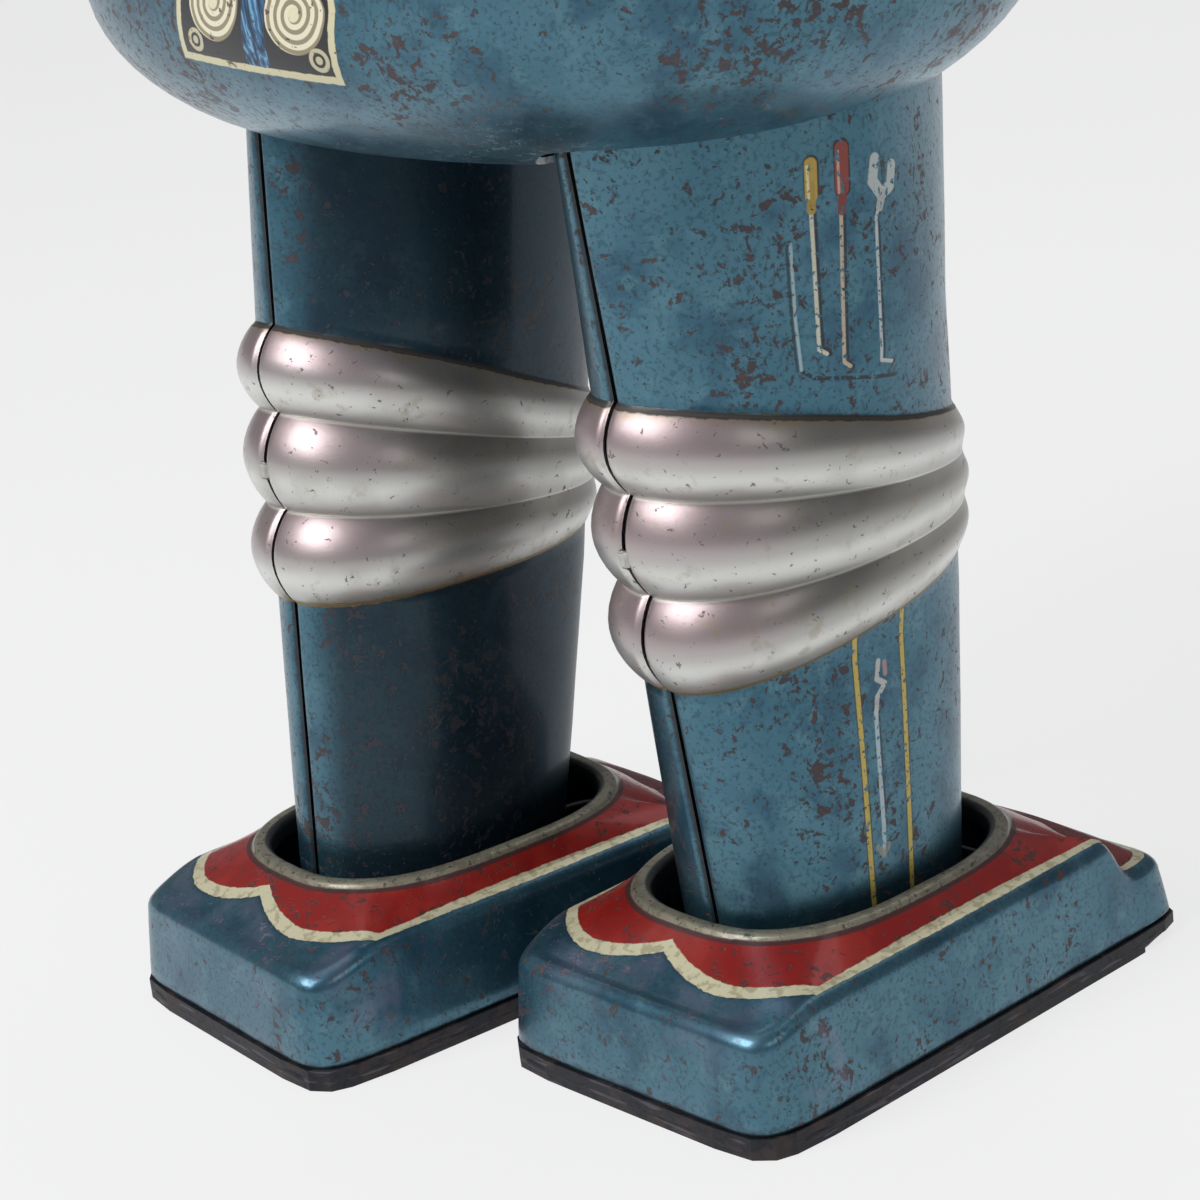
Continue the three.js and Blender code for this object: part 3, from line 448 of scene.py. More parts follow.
class Paint:
    """Layers of finish over a surface: colour, metal, roughness and height in millimetres."""

    def __init__(self, name, seed, base, metal, rough, from_cad=False):
        self.material = bpy.data.materials.new(name)
        self.material.use_nodes = True
        self.tree = self.material.node_tree
        self.seed = seed
        if from_cad:
            source = self.tree.nodes.new("ShaderNodeTexCoord").outputs["Object"]
            scale = self.tree.nodes.new("ShaderNodeVectorMath")
            scale.operation = "SCALE"
            scale.inputs["Scale"].default_value = 1 / MM
            self.tree.links.new(source, scale.inputs[0])
            self.vector = scale.outputs[0]
        else:
            node = self.tree.nodes.new("ShaderNodeAttribute")
            node.attribute_name = "place"
            self.vector = node.outputs["Vector"]
        split = self.tree.nodes.new("ShaderNodeSeparateXYZ")
        self.tree.links.new(self.vector, split.inputs[0])
        self.x, self.y, self.z = (Field(self.tree, s) for s in split.outputs)
        self.colour = colour(base)
        self.values = {"metal": metal, "rough": rough, "height": 0.0}

    def attribute(self, name):
        node = self.tree.nodes.new("ShaderNodeAttribute")
        node.attribute_name = name
        return Field(self.tree, node.outputs["Fac"])

    def noise(self, size, detail=3.0, rough=0.55, warp=0.0, stretch=None):
        """Noise with features about size millimetres across, round 0.5."""
        self.seed += 1.7
        shift = self.tree.nodes.new("ShaderNodeVectorMath")
        shift.inputs[1].default_value = (self.seed * 7.3, self.seed * -4.9, self.seed * 3.1)
        node = self.tree.nodes.new("ShaderNodeTexNoise")
        node.noise_dimensions = "3D"
        vector = self.vector
        if stretch:
            scaled = self.tree.nodes.new("ShaderNodeVectorMath")
            scaled.operation = "MULTIPLY"
            scaled.inputs[1].default_value = stretch
            self.tree.links.new(vector, scaled.inputs[0])
            vector = scaled.outputs[0]
        self.tree.links.new(vector, shift.inputs[0])
        self.tree.links.new(shift.outputs[0], node.inputs["Vector"])
        for key, value in (("Scale", 1 / size), ("Detail", detail),
                           ("Roughness", rough), ("Distortion", warp)):
            node.inputs[key].default_value = value
        return Field(self.tree, node.outputs[0])

    def _mix(self, kind, mask, a, b):
        node = self.tree.nodes.new("ShaderNodeMix")
        node.data_type = kind
        wanted = "RGBA" if kind == "RGBA" else "VALUE"
        sockets = [s for s in node.inputs if s.type == wanted and s.enabled]
        factor = node.inputs[0]
        ends = [s for s in sockets if s is not factor and s.name in ("A", "B")]
        for socket, value in ((factor, mask), (ends[0], a), (ends[1], b)):
            if isinstance(value, Field):
                self.tree.links.new(value.socket, socket)
            else:
                socket.default_value = value
        out = [s for s in node.outputs if s.enabled][0]
        return Field(self.tree, out)

    def layer(self, mask, tone=None, metal=None, rough=None, height=None):
        if tone is not None:
            tone = colour(tone) if isinstance(tone, str) else tone
            self.colour = self._mix("RGBA", mask, self.colour, tone)
        for key, value in (("metal", metal), ("rough", rough)):
            if value is not None:
                self.values[key] = self._mix("FLOAT", mask, self.values[key], value)
        if height is not None:
            self.values["height"] = mask * height + self.values["height"]
        return self

    def segment(self, u, v, start, end):
        """Distance in millimetres to a straight stroke between two (u, v) points."""
        du, dv = end[0] - start[0], end[1] - start[1]
        size = du * du + dv * dv
        au, av = u - start[0], v - start[1]
        part = ((au * du + av * dv) * (1 / size)).most(0.0).least(1.0)
        return (au - part * du).length(av - part * dv)

    def strokes(self, u, v, points):
        """Distance to a run of straight strokes."""
        runs = [self.segment(u, v, a, b) for a, b in zip(points, points[1:])]
        near = runs[0]
        for other in runs[1:]:
            near = near.least(other)
        return near

    def finish(self, grain=0.0, coat=0.0, coat_rough=0.15, **constants):
        shader = next(n for n in self.tree.nodes if n.type == "BSDF_PRINCIPLED")
        links = (("Base Color", self.colour), ("Metallic", self.values["metal"]),
                 ("Roughness", self.values["rough"]))
        for key, value in links:
            if isinstance(value, Field):
                self.tree.links.new(value.socket, shader.inputs[key])
            else:
                shader.inputs[key].default_value = value
        shader.inputs["Coat Weight"].default_value = coat
        shader.inputs["Coat Roughness"].default_value = coat_rough
        for key, value in constants.items():
            shader.inputs[key.replace("_", " ")].default_value = value
        height = self.values["height"]
        if grain:
            height = self.noise(0.35, 2.0) * grain + height
        if isinstance(height, Field):
            bump = self.tree.nodes.new("ShaderNodeBump")
            bump.inputs["Strength"].default_value = 1.0
            bump.inputs["Distance"].default_value = MM
            self.tree.links.new(height.socket, bump.inputs["Height"])
            self.tree.links.new(bump.outputs[0], shader.inputs["Normal"])
        return self.material


def blemishes(paint, amount=1.0, where=None):
    """Rust pits and worn patches through the printed lacquer, gathered in drifts."""
    drift = paint.noise(17.0, 3.0, 0.6)
    blots = paint.noise(1.9, 3.5, 0.62, 0.4) + (drift - 0.5) * 0.42
    pits = paint.noise(0.9, 2.0, 0.6, 0.2) + (drift - 0.5) * 0.3
    limit = 0.655 - 0.032 * amount
    big = blots.rise(limit, limit + 0.022)
    small = pits.rise(limit + 0.022, limit + 0.045)
    halo = blots.rise(limit - 0.045, limit + 0.01)
    if where is not None:
        big, small, halo = big * where, small * where, halo * where
    paint.layer(halo * 0.45, "#3c4a55", rough=0.5)
    paint.layer(small * 0.85, "#2c2a30", metal=0.1, rough=0.6, height=-0.04)
    paint.layer(big * 0.9, "#35282c", metal=0.1, rough=0.66, height=-0.06)
    rust = paint.noise(0.8, 2.0)
    paint.layer(big * rust.rise(0.52, 0.62) * 0.55, "#5a3a30", rough=0.75)


def litho(name, seed):
    """Blue-green translucent lacquer over bright tinplate."""
    paint = Paint(name, seed, "#3f6a7c", 0.82, 0.34)
    paint.layer(paint.noise(24.0, 2.0).rise(0.38, 0.62), "#4b7485")
    paint.layer(paint.noise(11.0, 3.0).rise(0.48, 0.66) * 0.75, "#2c5268")
    paint.layer(paint.noise(5.0, 3.0, 0.65).rise(0.52, 0.7) * 0.5, "#5c8592", rough=0.42)
    paint.layer(paint.noise(0.7, 2.0).rise(0.5, 0.66) * 0.45, "#264352", rough=0.47)
    return paint


def leg_finish(name, seed):
    paint = litho(name, seed)
    x, y, z = paint.x, paint.y, paint.z
    band = paint.attribute("band")
    pleat = paint.attribute("pleat")
    blemishes(paint, 1.0, band.fall(-0.3, 0.0))
    outer = x.rise(6.0, 8.0)
    worn = paint.noise(0.8, 3.0).rise(0.36, 0.44)
    ink = outer * worn

    def stroke(points, width, tone, strength=0.95, rough=0.5):
        near = paint.strokes(y, z, points)
        paint.layer(near.fall(width - 0.1, width + 0.1) * ink * strength, tone, metal=0.25, rough=rough)

    # painted shade: a dark band along the open front seam
    from_seam = abs(x - LEG_OFFSET) + (paint.noise(1.5, 2.0) - 0.5) * 0.5
    seam = from_seam.fall(0.55, 1.1) * (-y).rise(5.0, 9.0)
    paint.layer(seam * 0.9, "#11171c", metal=0.1, rough=0.6)

    # shin: two yellow lines with a spanner between
    for run in (((-4.0, 64.4), (-5.1, 44.6), (-6.8, 20.0)), ((5.4, 66.2), (3.0, 41.0), (0.7, 20.0))):
        stroke(run, 0.62, "#3a3a2c")
        stroke(run, 0.42, "#c2ad55")
    stroke(((-0.2, 57.6), (-0.9, 55.2), (0.5, 54.0), (-1.2, 52.6), (-1.8, 50.0)), 0.42, "#b9bcb8", 0.9)
    stroke(((0.9, 57.0), (0.8, 55.4)), 0.4, "#a8858a", 0.9)
    stroke(((-1.8, 50.5), (-3.0, 33.4), (-3.6, 29.2)), 0.38, "#aebfc6", 0.9)
    stroke(((-1.2, 50.4), (-2.4, 33.4)), 0.16, "#22323c", 0.9)
    stroke(((-4.4, 30.6), (-3.6, 29.0), (-2.6, 30.2)), 0.5, "#8d8f86", 0.8)
    # thigh: pocket with three hand tools
    stroke(((-9.1, 103.2), (-7.8, 101.9), (2.0, 99.0), (5.5, 98.1)), 0.26, "#14222c")
    stroke(((-7.7, 119.8), (-8.8, 110.1), (-9.2, 103.4)), 0.2, "#9fb6bb", 0.8)
    stroke(((-8.2, 119.8), (-9.3, 110.1), (-9.7, 103.4)), 0.18, "#1d3038", 0.8)
    for shaft, tone in ((((-4.4, 123.2), (-6.5, 105.4), (-5.6, 104.6)), "#c9c6b4"),
                        (((-0.4, 121.9), (-3.4, 102.8), (-2.6, 102.0)), "#bcae98"),
                        (((5.8, 121.4), (4.9, 119.8), (2.6, 101.1), (4.6, 100.3)), "#b9c3c4")):
        stroke([(a + 0.35, b - 0.1) for a, b in shaft], 0.36, "#16262f", 0.9)
        stroke(shaft, 0.27, tone)
    stroke(((-3.3, 129.3), (-3.9, 125.6)), 1.05, "#2a2a20")
    stroke(((-3.4, 129.2), (-4.0, 125.2)), 0.85, "#b79a45")
    stroke(((-3.9, 126.4), (-4.3, 123.4)), 0.6, "#a68a3c")
    stroke(((-3.9, 129.0), (-4.4, 125.0)), 0.2, "#d8cf9a")
    stroke(((1.1, 130.2), (0.4, 125.0)), 1.2, "#2b1a1a")
    stroke(((1.1, 130.0), (0.3, 125.0)), 1.0, "#8e3b31")
    stroke(((0.4, 125.2), (-0.2, 122.2)), 0.62, "#7c332c")
    stroke(((0.5, 129.8), (-0.2, 124.6)), 0.2, "#c9a08f")
    stroke(((6.0, 127.2), (5.1, 124.6), (6.4, 122.4), (8.4, 123.0), (9.2, 125.4)), 0.85, "#b7bdbb")
    stroke(((7.4, 126.8), (7.3, 124.8)), 0.45, "#1f3038")
    stroke(((6.6, 122.4), (5.8, 121.0)), 0.7, "#a9b0ae")

    # painted shade: the inner side of the leg is painted a deeper blue
    deep = (x - LEG_OFFSET).fall(-9.0, -2.0) * band.fall(-0.3, 0.0)
    paint.layer(deep * 0.8, "#14202b", rough=0.5)

    # knee band: pearly silver print; each pleat is darker above and brighter below, partly the print's own
    # shading and partly painted shade and painted highlight
    inside = band.rise(-0.12, 0.12)
    part = pleat - pleat.op("FLOOR")
    front = (-y).rise(10.0, 25.0)
    paint.layer(inside, "#b8b8b5", metal=0.7, rough=0.34)
    # painted shade on the upper part of each pleat, over the print's own darker shading
    paint.layer(inside * part.rise(0.4, 0.8) * 0.9, "#77736e", rough=0.4)
    # painted highlight on the lower part of each pleat
    paint.layer(inside * part.rise(0.05, 0.3) * part.fall(0.3, 0.5) * 0.7, "#e2e2de")
    paint.layer(inside * paint.noise(14.0, 3.0).rise(0.48, 0.66) * 0.35, "#9c9a94")
    paint.layer(inside * front * part.rise(0.35, 0.7) * 0.35, "#c3a3ad")
    stain = paint.noise(4.0, 4.0, 0.65)
    paint.layer(inside * stain.rise(0.56, 0.7) * 0.35, "#8f8460", rough=0.5)
    paint.layer(inside * (band - stain * 3.2).fall(-1.9, 0.0) * 0.55, "#857349", rough=0.5)
    scuffs = paint.noise(1.3, 3.5, 0.65, 0.6).rise(0.645, 0.675)
    paint.layer(inside * scuffs * 0.75, "#4c4640", metal=0.2, rough=0.6, height=-0.04)
    # painted highlight: a thin bright line along each crease between pleats
    crease_highlight = (part - 0.5).op("ABSOLUTE").rise(0.478, 0.497)
    paint.layer(inside * crease_highlight * 0.6, "#e6e4dc", rough=0.5)
    edge = paint.noise(1.1, 3.0)
    upper = pleat.rise(1.5, 1.6)
    rim = (abs(band) - edge * 0.5).fall(0.0, 0.22)
    paint.layer(rim * upper * 0.95, "#231c18", metal=0.1, rough=0.6)
    paint.layer(rim * upper.fall(0.2, 0.8) * 0.7, "#8a7440", rough=0.55)
    return paint.finish(grain=0.012, coat=0.25)


def shoe_finish(name, seed):
    paint = litho(name, seed)
    x, y, z = paint.x, paint.y, paint.z
    rim = paint.attribute("rim")
    ring = paint.attribute("ring")
    wide = abs(x) - 12.3
    outside = wide.most(0.0)
    inside = wide.least(0.0)
    scallop = outside * outside * 0.047 + inside * inside * 0.02 - 37.8
    slope = (outside * outside * 0.0088 + 1.0).op("SQRT")
    toe = (y - scallop) / slope - 1.2
    field = toe.least(rim - 0.35)
    ragged = (paint.noise(1.2, 3.0) - 0.5) * 0.5
    edge = field + ragged
    blemishes(paint, 0.55, ring.fall(-0.2, 0.2) * edge.fall(-1.6, -1.0))
    sheen = toe.rise(-9.0, -3.0) * toe.fall(-2.0, -1.0) * paint.noise(8.0).rise(0.42, 0.6)
    paint.layer(sheen * 0.3, "#8c86a0")
    paint.layer(edge.rise(-1.25, -1.05) * edge.fall(-1.0, -0.8) * 0.7, "#27343c")
    cream = edge.rise(-1.1, -0.9)
    paint.layer(cream, "#cbc5a6", metal=0.25, rough=0.4)
    paint.layer(cream * paint.noise(1.6, 3.0).rise(0.5, 0.62) * 0.6, "#8f8566", rough=0.5)
    red = edge.rise(0.78, 0.98)
    heel = y.rise(29.5, 34.0)
    paint.layer(red, "#8e1a15", metal=0.3, rough=0.36)
    paint.layer(red * paint.noise(6.0, 3.0).rise(0.45, 0.62) * 0.5, "#a52c20")
    paint.layer(red * paint.noise(3.0, 4.0).rise(0.52, 0.66) * 0.5, "#7c1f1c", rough=0.45)
    paint.layer(red * heel * 0.75, "#6b3230", rough=0.5)
    blots = paint.noise(1.4, 3.5, 0.62, 0.4) + (paint.noise(9.0) - 0.5) * 0.35
    paint.layer(red * blots.rise(0.6, 0.63) * 0.85, "#3a2422", metal=0.1, rough=0.62, height=-0.05)
    lip = (ring + ragged * 0.5).rise(-0.25, 0.0)
    paint.layer((ring + 0.8).rise(-0.3, -0.05) * 0.85, "#1f191a", metal=0.1, rough=0.6)
    paint.layer(lip, "#837e6d", metal=0.45, rough=0.42)
    paint.layer(lip * paint.noise(2.0, 3.0, 0.65).rise(0.47, 0.6) * 0.6, "#625e52", rough=0.5)
    specks = paint.noise(0.9, 3.0, 0.6, 0.3).rise(0.6, 0.64)
    paint.layer(lip * specks * 0.8, "#26231f", metal=0.1, rough=0.65)
    # painted shade: the ring's inner wall, turning down into the opening, is painted near black
    inward = ring.rise(RING_BAND - 0.7, RING_BAND - 0.2)
    paint.layer(inward * 0.95, "#17191c", metal=0.3, rough=0.6)
    foot = z.fall(3.2, 5.0) * paint.noise(2.0, 3.0).rise(0.4, 0.6)
    paint.layer(foot * 0.7, "#27303a", rough=0.55)
    paint.layer(z.fall(3.3, 3.9) * 0.85, "#14181d", metal=0.2, rough=0.6)
    return paint.finish(grain=0.012, coat=0.35, coat_rough=0.12)


def body_finish(name, seed):
    paint = litho(name, seed)
    x, y, z = paint.x, paint.y, paint.z
    v = z - 147.2 + (x - 6.35) * 0.0836
    u = x - 6.35 - v.most(-4.0).least(10.0) * 0.35
    field = (abs(u) - 15.6).most(abs(v - 25.0) - 25.0)
    shown = (-y).rise(5.0, 8.0)
    blemishes(paint, 1.6, field.rise(0.0, 0.3))
    bulge = z.fall(136.0, 150.0)
    paint.layer(bulge * paint.noise(10.0).rise(0.4, 0.6) * 0.35, "#6d9db4")
    ragged = (paint.noise(1.1, 3.0) - 0.5) * 0.35
    edge = field + ragged
    panel = edge.fall(-0.1, 0.1) * shown
    paint.layer(panel, "#c9c2a0", metal=0.25, rough=0.42)
    ground = edge.fall(-1.15, -0.95) * shown
    paint.layer(ground, "#14161a", metal=0.2, rough=0.36)
    streaks = paint.noise(0.55, 2.0, 0.5, 0.0, (1.0, 1.0, 0.06))
    stripe = (abs(u - 1.1) - 2.2).fall(-0.1, 0.1) * v.fall(20.0, 20.2) * ground
    paint.layer(stripe, "#2f5f86", metal=0.5, rough=0.36)
    paint.layer(stripe * streaks.rise(0.48, 0.58), "#173048")
    paint.layer(stripe * streaks.fall(0.36, 0.44), "#6fa3c4")
    for cu, cv in ((-7.2, 8.9), (8.7, 8.9)):
        du, dv = u - cu, v - cv
        r = du.length(dv)
        turn = dv.op("ARCTAN2", du) * (1 / TAU)
        wave = (r * (1 / 1.35) - turn).op("FRACT")
        disc = r.fall(5.2, 5.4) * ground
        paint.layer(disc, "#8e836a", metal=0.3, rough=0.42)
        coil = wave.rise(0.1, 0.2) * wave.fall(0.62, 0.74)
        paint.layer(disc * coil, "#ddd7bd", rough=0.4)
        paint.layer(r.fall(0.9, 1.1) * ground, "#d8d1b2")
    for cu, cv in ((-11.6, 3.2), (12.6, 3.2), (-11.6, 46.8), (12.6, 46.8)):
        r = (u - cu).length(v - cv)
        paint.layer(abs(r - 1.35).fall(0.25, 0.4) * ground, "#b9b294", metal=0.3)
        paint.layer(r.fall(0.5, 0.65) * ground, "#b9b294", metal=0.3)
    # upper part of the panel: two plain gauges and a row of lamps
    for cu in (-7.2, 8.7):
        du, dv = u - cu, v - 27.0
        r = du.length(dv)
        paint.layer(r.fall(5.4, 5.6) * ground, "#d5cdab", metal=0.25, rough=0.4)
        ticks = (dv.op("ARCTAN2", du) * (24 / TAU)).op("FRACT") - 0.5
        marks = abs(ticks).rise(0.3, 0.36) * r.rise(3.9, 4.1) * r.fall(4.9, 5.1)
        paint.layer(marks * ground, "#26221c")
        needle = paint.segment(du, dv, (0.0, 0.0), (2.4, 2.9)).fall(0.22, 0.36)
        paint.layer(needle.most(r.fall(0.6, 0.75)) * ground, "#8c2a22")
    for k, tone in enumerate(("#a5352a", "#c09a3e", "#3f7d86", "#c09a3e", "#a5352a")):
        r = (u - (k - 2) * 4.8 - 0.7).length(v - 39.5)
        paint.layer(r.fall(1.7, 1.9) * ground, "#c9c2a0")
        paint.layer(r.fall(1.25, 1.45) * ground, tone)
    chips = paint.noise(1.2, 3.5, 0.62, 0.3) + (paint.noise(8.0) - 0.5) * 0.3
    paint.layer(panel * chips.rise(0.62, 0.65) * 0.85, "#3b3030", metal=0.1, rough=0.65, height=-0.05)
    return paint.finish(grain=0.012, coat=0.3)


def plain_litho(name, seed, amount=0.8):
    paint = litho(name, seed)
    blemishes(paint, amount)
    return paint.finish(grain=0.012, coat=0.3)


def worn_metal(name, seed, base, dark, rough=0.34, from_cad=False, metal=0.95):
    """Bare or plated metal with fine scratches, tarnish and a few dark spots."""
    paint = Paint(name, seed, base, metal, rough, from_cad)
    paint.layer(paint.noise(6.0, 3.0).rise(0.42, 0.64) * 0.6, dark, rough=rough + 0.14)
    brushed = paint.noise(0.5, 2.0, 0.5, 0.0, (1.0, 1.0, 0.12))
    paint.layer(brushed.rise(0.45, 0.6) * 0.25, dark, rough=rough + 0.08, height=0.008)
    spots = paint.noise(1.1, 3.0, 0.62, 0.3).rise(0.62, 0.66)
    paint.layer(spots * 0.8, "#2d2622", metal=0.2, rough=0.7, height=-0.03)
    return paint.finish(grain=0.01)


def enamel(name, seed, base, deep, pale):
    paint = Paint(name, seed, base, 0.25, 0.34)
    paint.layer(paint.noise(7.0, 3.0).rise(0.45, 0.65) * 0.5, pale)
    paint.layer(paint.noise(3.0, 4.0).rise(0.5, 0.66) * 0.5, deep, rough=0.45)
    chips = paint.noise(1.3, 3.5, 0.62, 0.4) + (paint.noise(9.0) - 0.5) * 0.3
    paint.layer(chips.rise(0.61, 0.64) * 0.85, "#3a2826", metal=0.2, rough=0.65, height=-0.05)
    return paint.finish(grain=0.01, coat=0.3)


def dark_hem(name, seed, from_cad=False):
    paint = Paint(name, seed, "#26272d", 0.55, 0.5, from_cad)
    paint.layer(paint.noise(5.0, 4.0).rise(0.48, 0.62) * 0.7, "#3d2f2c", metal=0.2, rough=0.68)
    paint.layer(paint.noise(1.2, 3.0).rise(0.5, 0.62) * 0.5, "#17171b", rough=0.55, height=-0.03)
    rubbed = paint.noise(1.0, 3.0, 0.5, 0.0, (0.12, 0.12, 1.0)).rise(0.57, 0.64)
    paint.layer(rubbed * 0.6, "#54525a", rough=0.4)
    return paint.finish(grain=0.02)


def rubber(name, seed, from_cad=False):
    paint = Paint(name, seed, "#1b1b1c", 0.0, 0.7, from_cad)
    paint.layer(paint.noise(3.0, 4.0).rise(0.48, 0.64) * 0.6, "#34322f", rough=0.85)
    paint.layer(paint.noise(0.8, 3.0).rise(0.52, 0.62) * 0.4, "#0e0e0f", height=-0.03)
    return paint.finish(grain=0.03)


def amber(name, seed):
    paint = Paint(name, seed, "#c07a1e", 0.0, 0.14)
    paint.layer(paint.noise(4.0, 3.0).rise(0.45, 0.65) * 0.5, "#d89a3a", rough=0.2)
    paint.layer(paint.noise(1.0, 3.0).rise(0.6, 0.66) * 0.5, "#6a3c12", rough=0.35)
    return paint.finish(grain=0.004, coat=0.5, Transmission_Weight=0.25)


def liner(name, seed):
    """Plain pale backdrop paper."""
    paint = Paint(name, seed, "#626262", 0.0, 0.9, True)
    paint.layer(paint.noise(60.0, 3.0).rise(0.4, 0.6) * 0.2, "#5f5f5f")
    return paint.finish(Emission_Color=colour("#ededed"), Emission_Strength=0.88)


STEEL_CAD = worn_metal("steel_cad", 3.0, "#9a9c9e", "#6f6a66", 0.36, True)
BRASS_CAD = worn_metal("brass_cad", 5.0, "#b08d4a", "#7c5f2e", 0.36, True)
STEEL = worn_metal("steel_plated", 7.0, "#a3a5a7", "#74706c")
SILVER = worn_metal("silver_lacquer", 9.0, "#c8c6c0", "#8c8881", 0.34, False, 0.75)
RED = enamel("red_enamel", 11.0, "#a8231c", "#7c1f1c", "#c23a2a")
HEM_DARK = dark_hem("black_hem", 13.0)
HEM_CAD = dark_hem("black_hem_cad", 15.0, True)
RUBBER = rubber("black_rubber", 17.0)
AMBER = amber("amber_plastic", 19.0)
BODY_PAINT = body_finish("litho_body", 21.0)
PLAIN_PAINT = plain_litho("litho_plain", 31.0, 0.9)


# ---- legs ---------------------------------------------------------------------------------
def leg_level(level, lean):
    """Height and pleat number at a level: whole levels are the CAD's rows."""
    stops = [LEG_FOOT, 33.5, 48.0]
    stops += [front + rise * lean for front, rise in PLEATS]
    stops += [112.0, 125.0, LEG_TOP]
    low = min(len(stops) - 2, int(level))
    return mix(stops[low], stops[low + 1], level - low), level - 3


def leg_point(turn, level, half):
    lean = (1 - math.cos(turn)) / 2
    z, pleat = leg_level(level, lean)
    bulge = 0.0
    if 0 <= pleat <= 3:
        part = pleat - min(2, int(pleat))
        roll = max(0.0, math.sin(math.pi * part))
        fade = smooth(0.05, 0.75, lean)
        lift = max(0.0, math.sin(math.pi * pleat / 3)) ** 0.5
        bulge = PLEAT_STEP + mix(PLEAT_CREST * roll ** 0.8, PLEAT_SIDE * roll ** 2, fade)
        bulge += fade * PLEAT_LIFT * lift
    front = along(LEG_Z, LEG_FRONT, z) + bulge
    rear = along(LEG_Z, LEG_REAR, z) + bulge
    side = along(LEG_Z, LEG_OUTER if half > 0 else LEG_INNER, z) + bulge
    curve = 2 / min(2.3, max(1.6, along(LEG_Z, LEG_FULL, z)))
    out = (side - SEAM / 2) * max(0.0, math.sin(turn)) ** curve
    y = (rear - front) / 2 - (rear + front) / 2 * power(math.cos(turn), curve)
    lip = 0.6 * max(0.0, 1 - out / 1.2) ** 2
    y += lip if turn < 1.5 else -lip
    return (half * (SEAM / 2 + out) + LEG_OFFSET, y, z)


def leg_half(half, seed):
    edge_turns = [0, 0.008, 0.018, 0.03, 0.045, 0.065, 0.09, 0.12]
    turns = edge_turns + spread(0.16, math.pi - 0.16, 60) + [math.pi - t for t in edge_turns[::-1]]
    levels = spread(0, 1, 6) + spread(1.17, 2, 6) + spread(2.1, 2.97, 9)
    for k in range(3):
        levels += [3 + k + t for t in (0.0, 0.015, 0.04, 0.08, 0.14, 0.22, 0.32, 0.42, 0.5, 0.58,
                                       0.68, 0.78, 0.86, 0.92, 0.96, 0.985)]
    levels += [5.9999] + spread(6.03, 7, 9) + spread(7.1, 8, 8) + spread(8.1, 9, 8)
    grid = np.array([[leg_point(t, level, half) for t in turns] for level in levels], float)
    grid = dented(grid, False, 0.16, 13.0, seed)
    edge_x = LEG_OFFSET + half * SEAM / 2
    grid[:, 0, 0] = grid[:, -1, 0] = edge_x
    band = np.zeros(grid.shape[:2])
    pleat = np.zeros(grid.shape[:2])
    for r, level in enumerate(levels):
        for c, t in enumerate(turns):
            lean = (1 - math.cos(t)) / 2
            z = leg_level(level, lean)[0]
            low, high = (front + rise * lean for front, rise in (PLEATS[0], PLEATS[3]))
            band[r, c] = min(z - low, high - z)
            pleat[r, c] = level - 3
    return grid, {"band": band, "pleat": pleat}


def leg_matrix(side):
    place = Matrix.Translation((side * STANCE / 2, 0, HIP))
    return place @ Matrix.Rotation(side * SWING, 4, "X") @ Matrix.Translation((0, 0, -HIP))


def seam_tab(z):
    """Folded tab that bridges the open seam, in the leg's frame."""
    level = 3 + next(k + (z - PLEATS[k][0]) / (PLEATS[k + 1][0] - PLEATS[k][0])
                     for k in range(3) if z <= PLEATS[k + 1][0])
    y = leg_point(0.0, level, 1)[1]
    return block((1.9, 1.0, 2.6), (LEG_OFFSET, y - 0.1, z), 0.35)


for name, side in SIDES:
    finish = leg_finish(f"litho_{name}_leg", 41.0 if side > 0 else 57.0)
    for half, word in ((1, "outer"), (-1, "inner")):
        grid, extras = leg_half(half, 3.0 * side + half)
        piece(f"{name}_leg_{word}_shell", sheet_mesh(grid, SHEET, False, extras), finish,
              f"{name}_leg", [f"{name}_leg_{word}_half"], side, leg_matrix(side))
    piece(f"{name}_knee_tab", seam_tab(KNEE_TAB_Z), SILVER, f"{name}_leg", (), side,
          leg_matrix(side))


# ---- shoes --------------------------------------------------------------------------------
def shoe_edge(y):
    return mix(mix(17.6, 19.8, smooth(-41, -30, y)), 12.9, smooth(30, 36, y))


def polar_oval(angle, half, full, inset):
    """The point of a superellipse in a polar direction."""
    across, ahead = math.cos(angle), math.sin(angle)
    total = abs(across / (half[0] - inset)) ** full + abs(ahead / (half[1] - inset)) ** full
    radius = total ** (-1 / full)
    return radius * across, radius * ahead


def shoe_ring(angle, inset, height):
    full = HEEL_FULL if math.sin(angle) > 0 else TOE_FULL
    x, y = polar_oval(angle, SHOE_HALF, full, inset)
    return x, y + SHOE_Y, height(y + SHOE_Y)


def opening(angle, inset, z):
    x, y = polar_oval(angle, RING_HALF, RING_FULL, inset)
    return x, y + RING_Y, z


def deck_point(angle, part):
    a = Vector(shoe_ring(angle, 3.6, shoe_edge))
    b = Vector(opening(angle, 0, RING_Z - 0.8))
    p = a.lerp(b, part)
    deck = 16 - 2.6 * (p.x / 25) ** 2
    p.z = mix(p.z, deck, smooth(30.5, 35, p.y) * smooth(0, 0.25, part))
    return tuple(p)


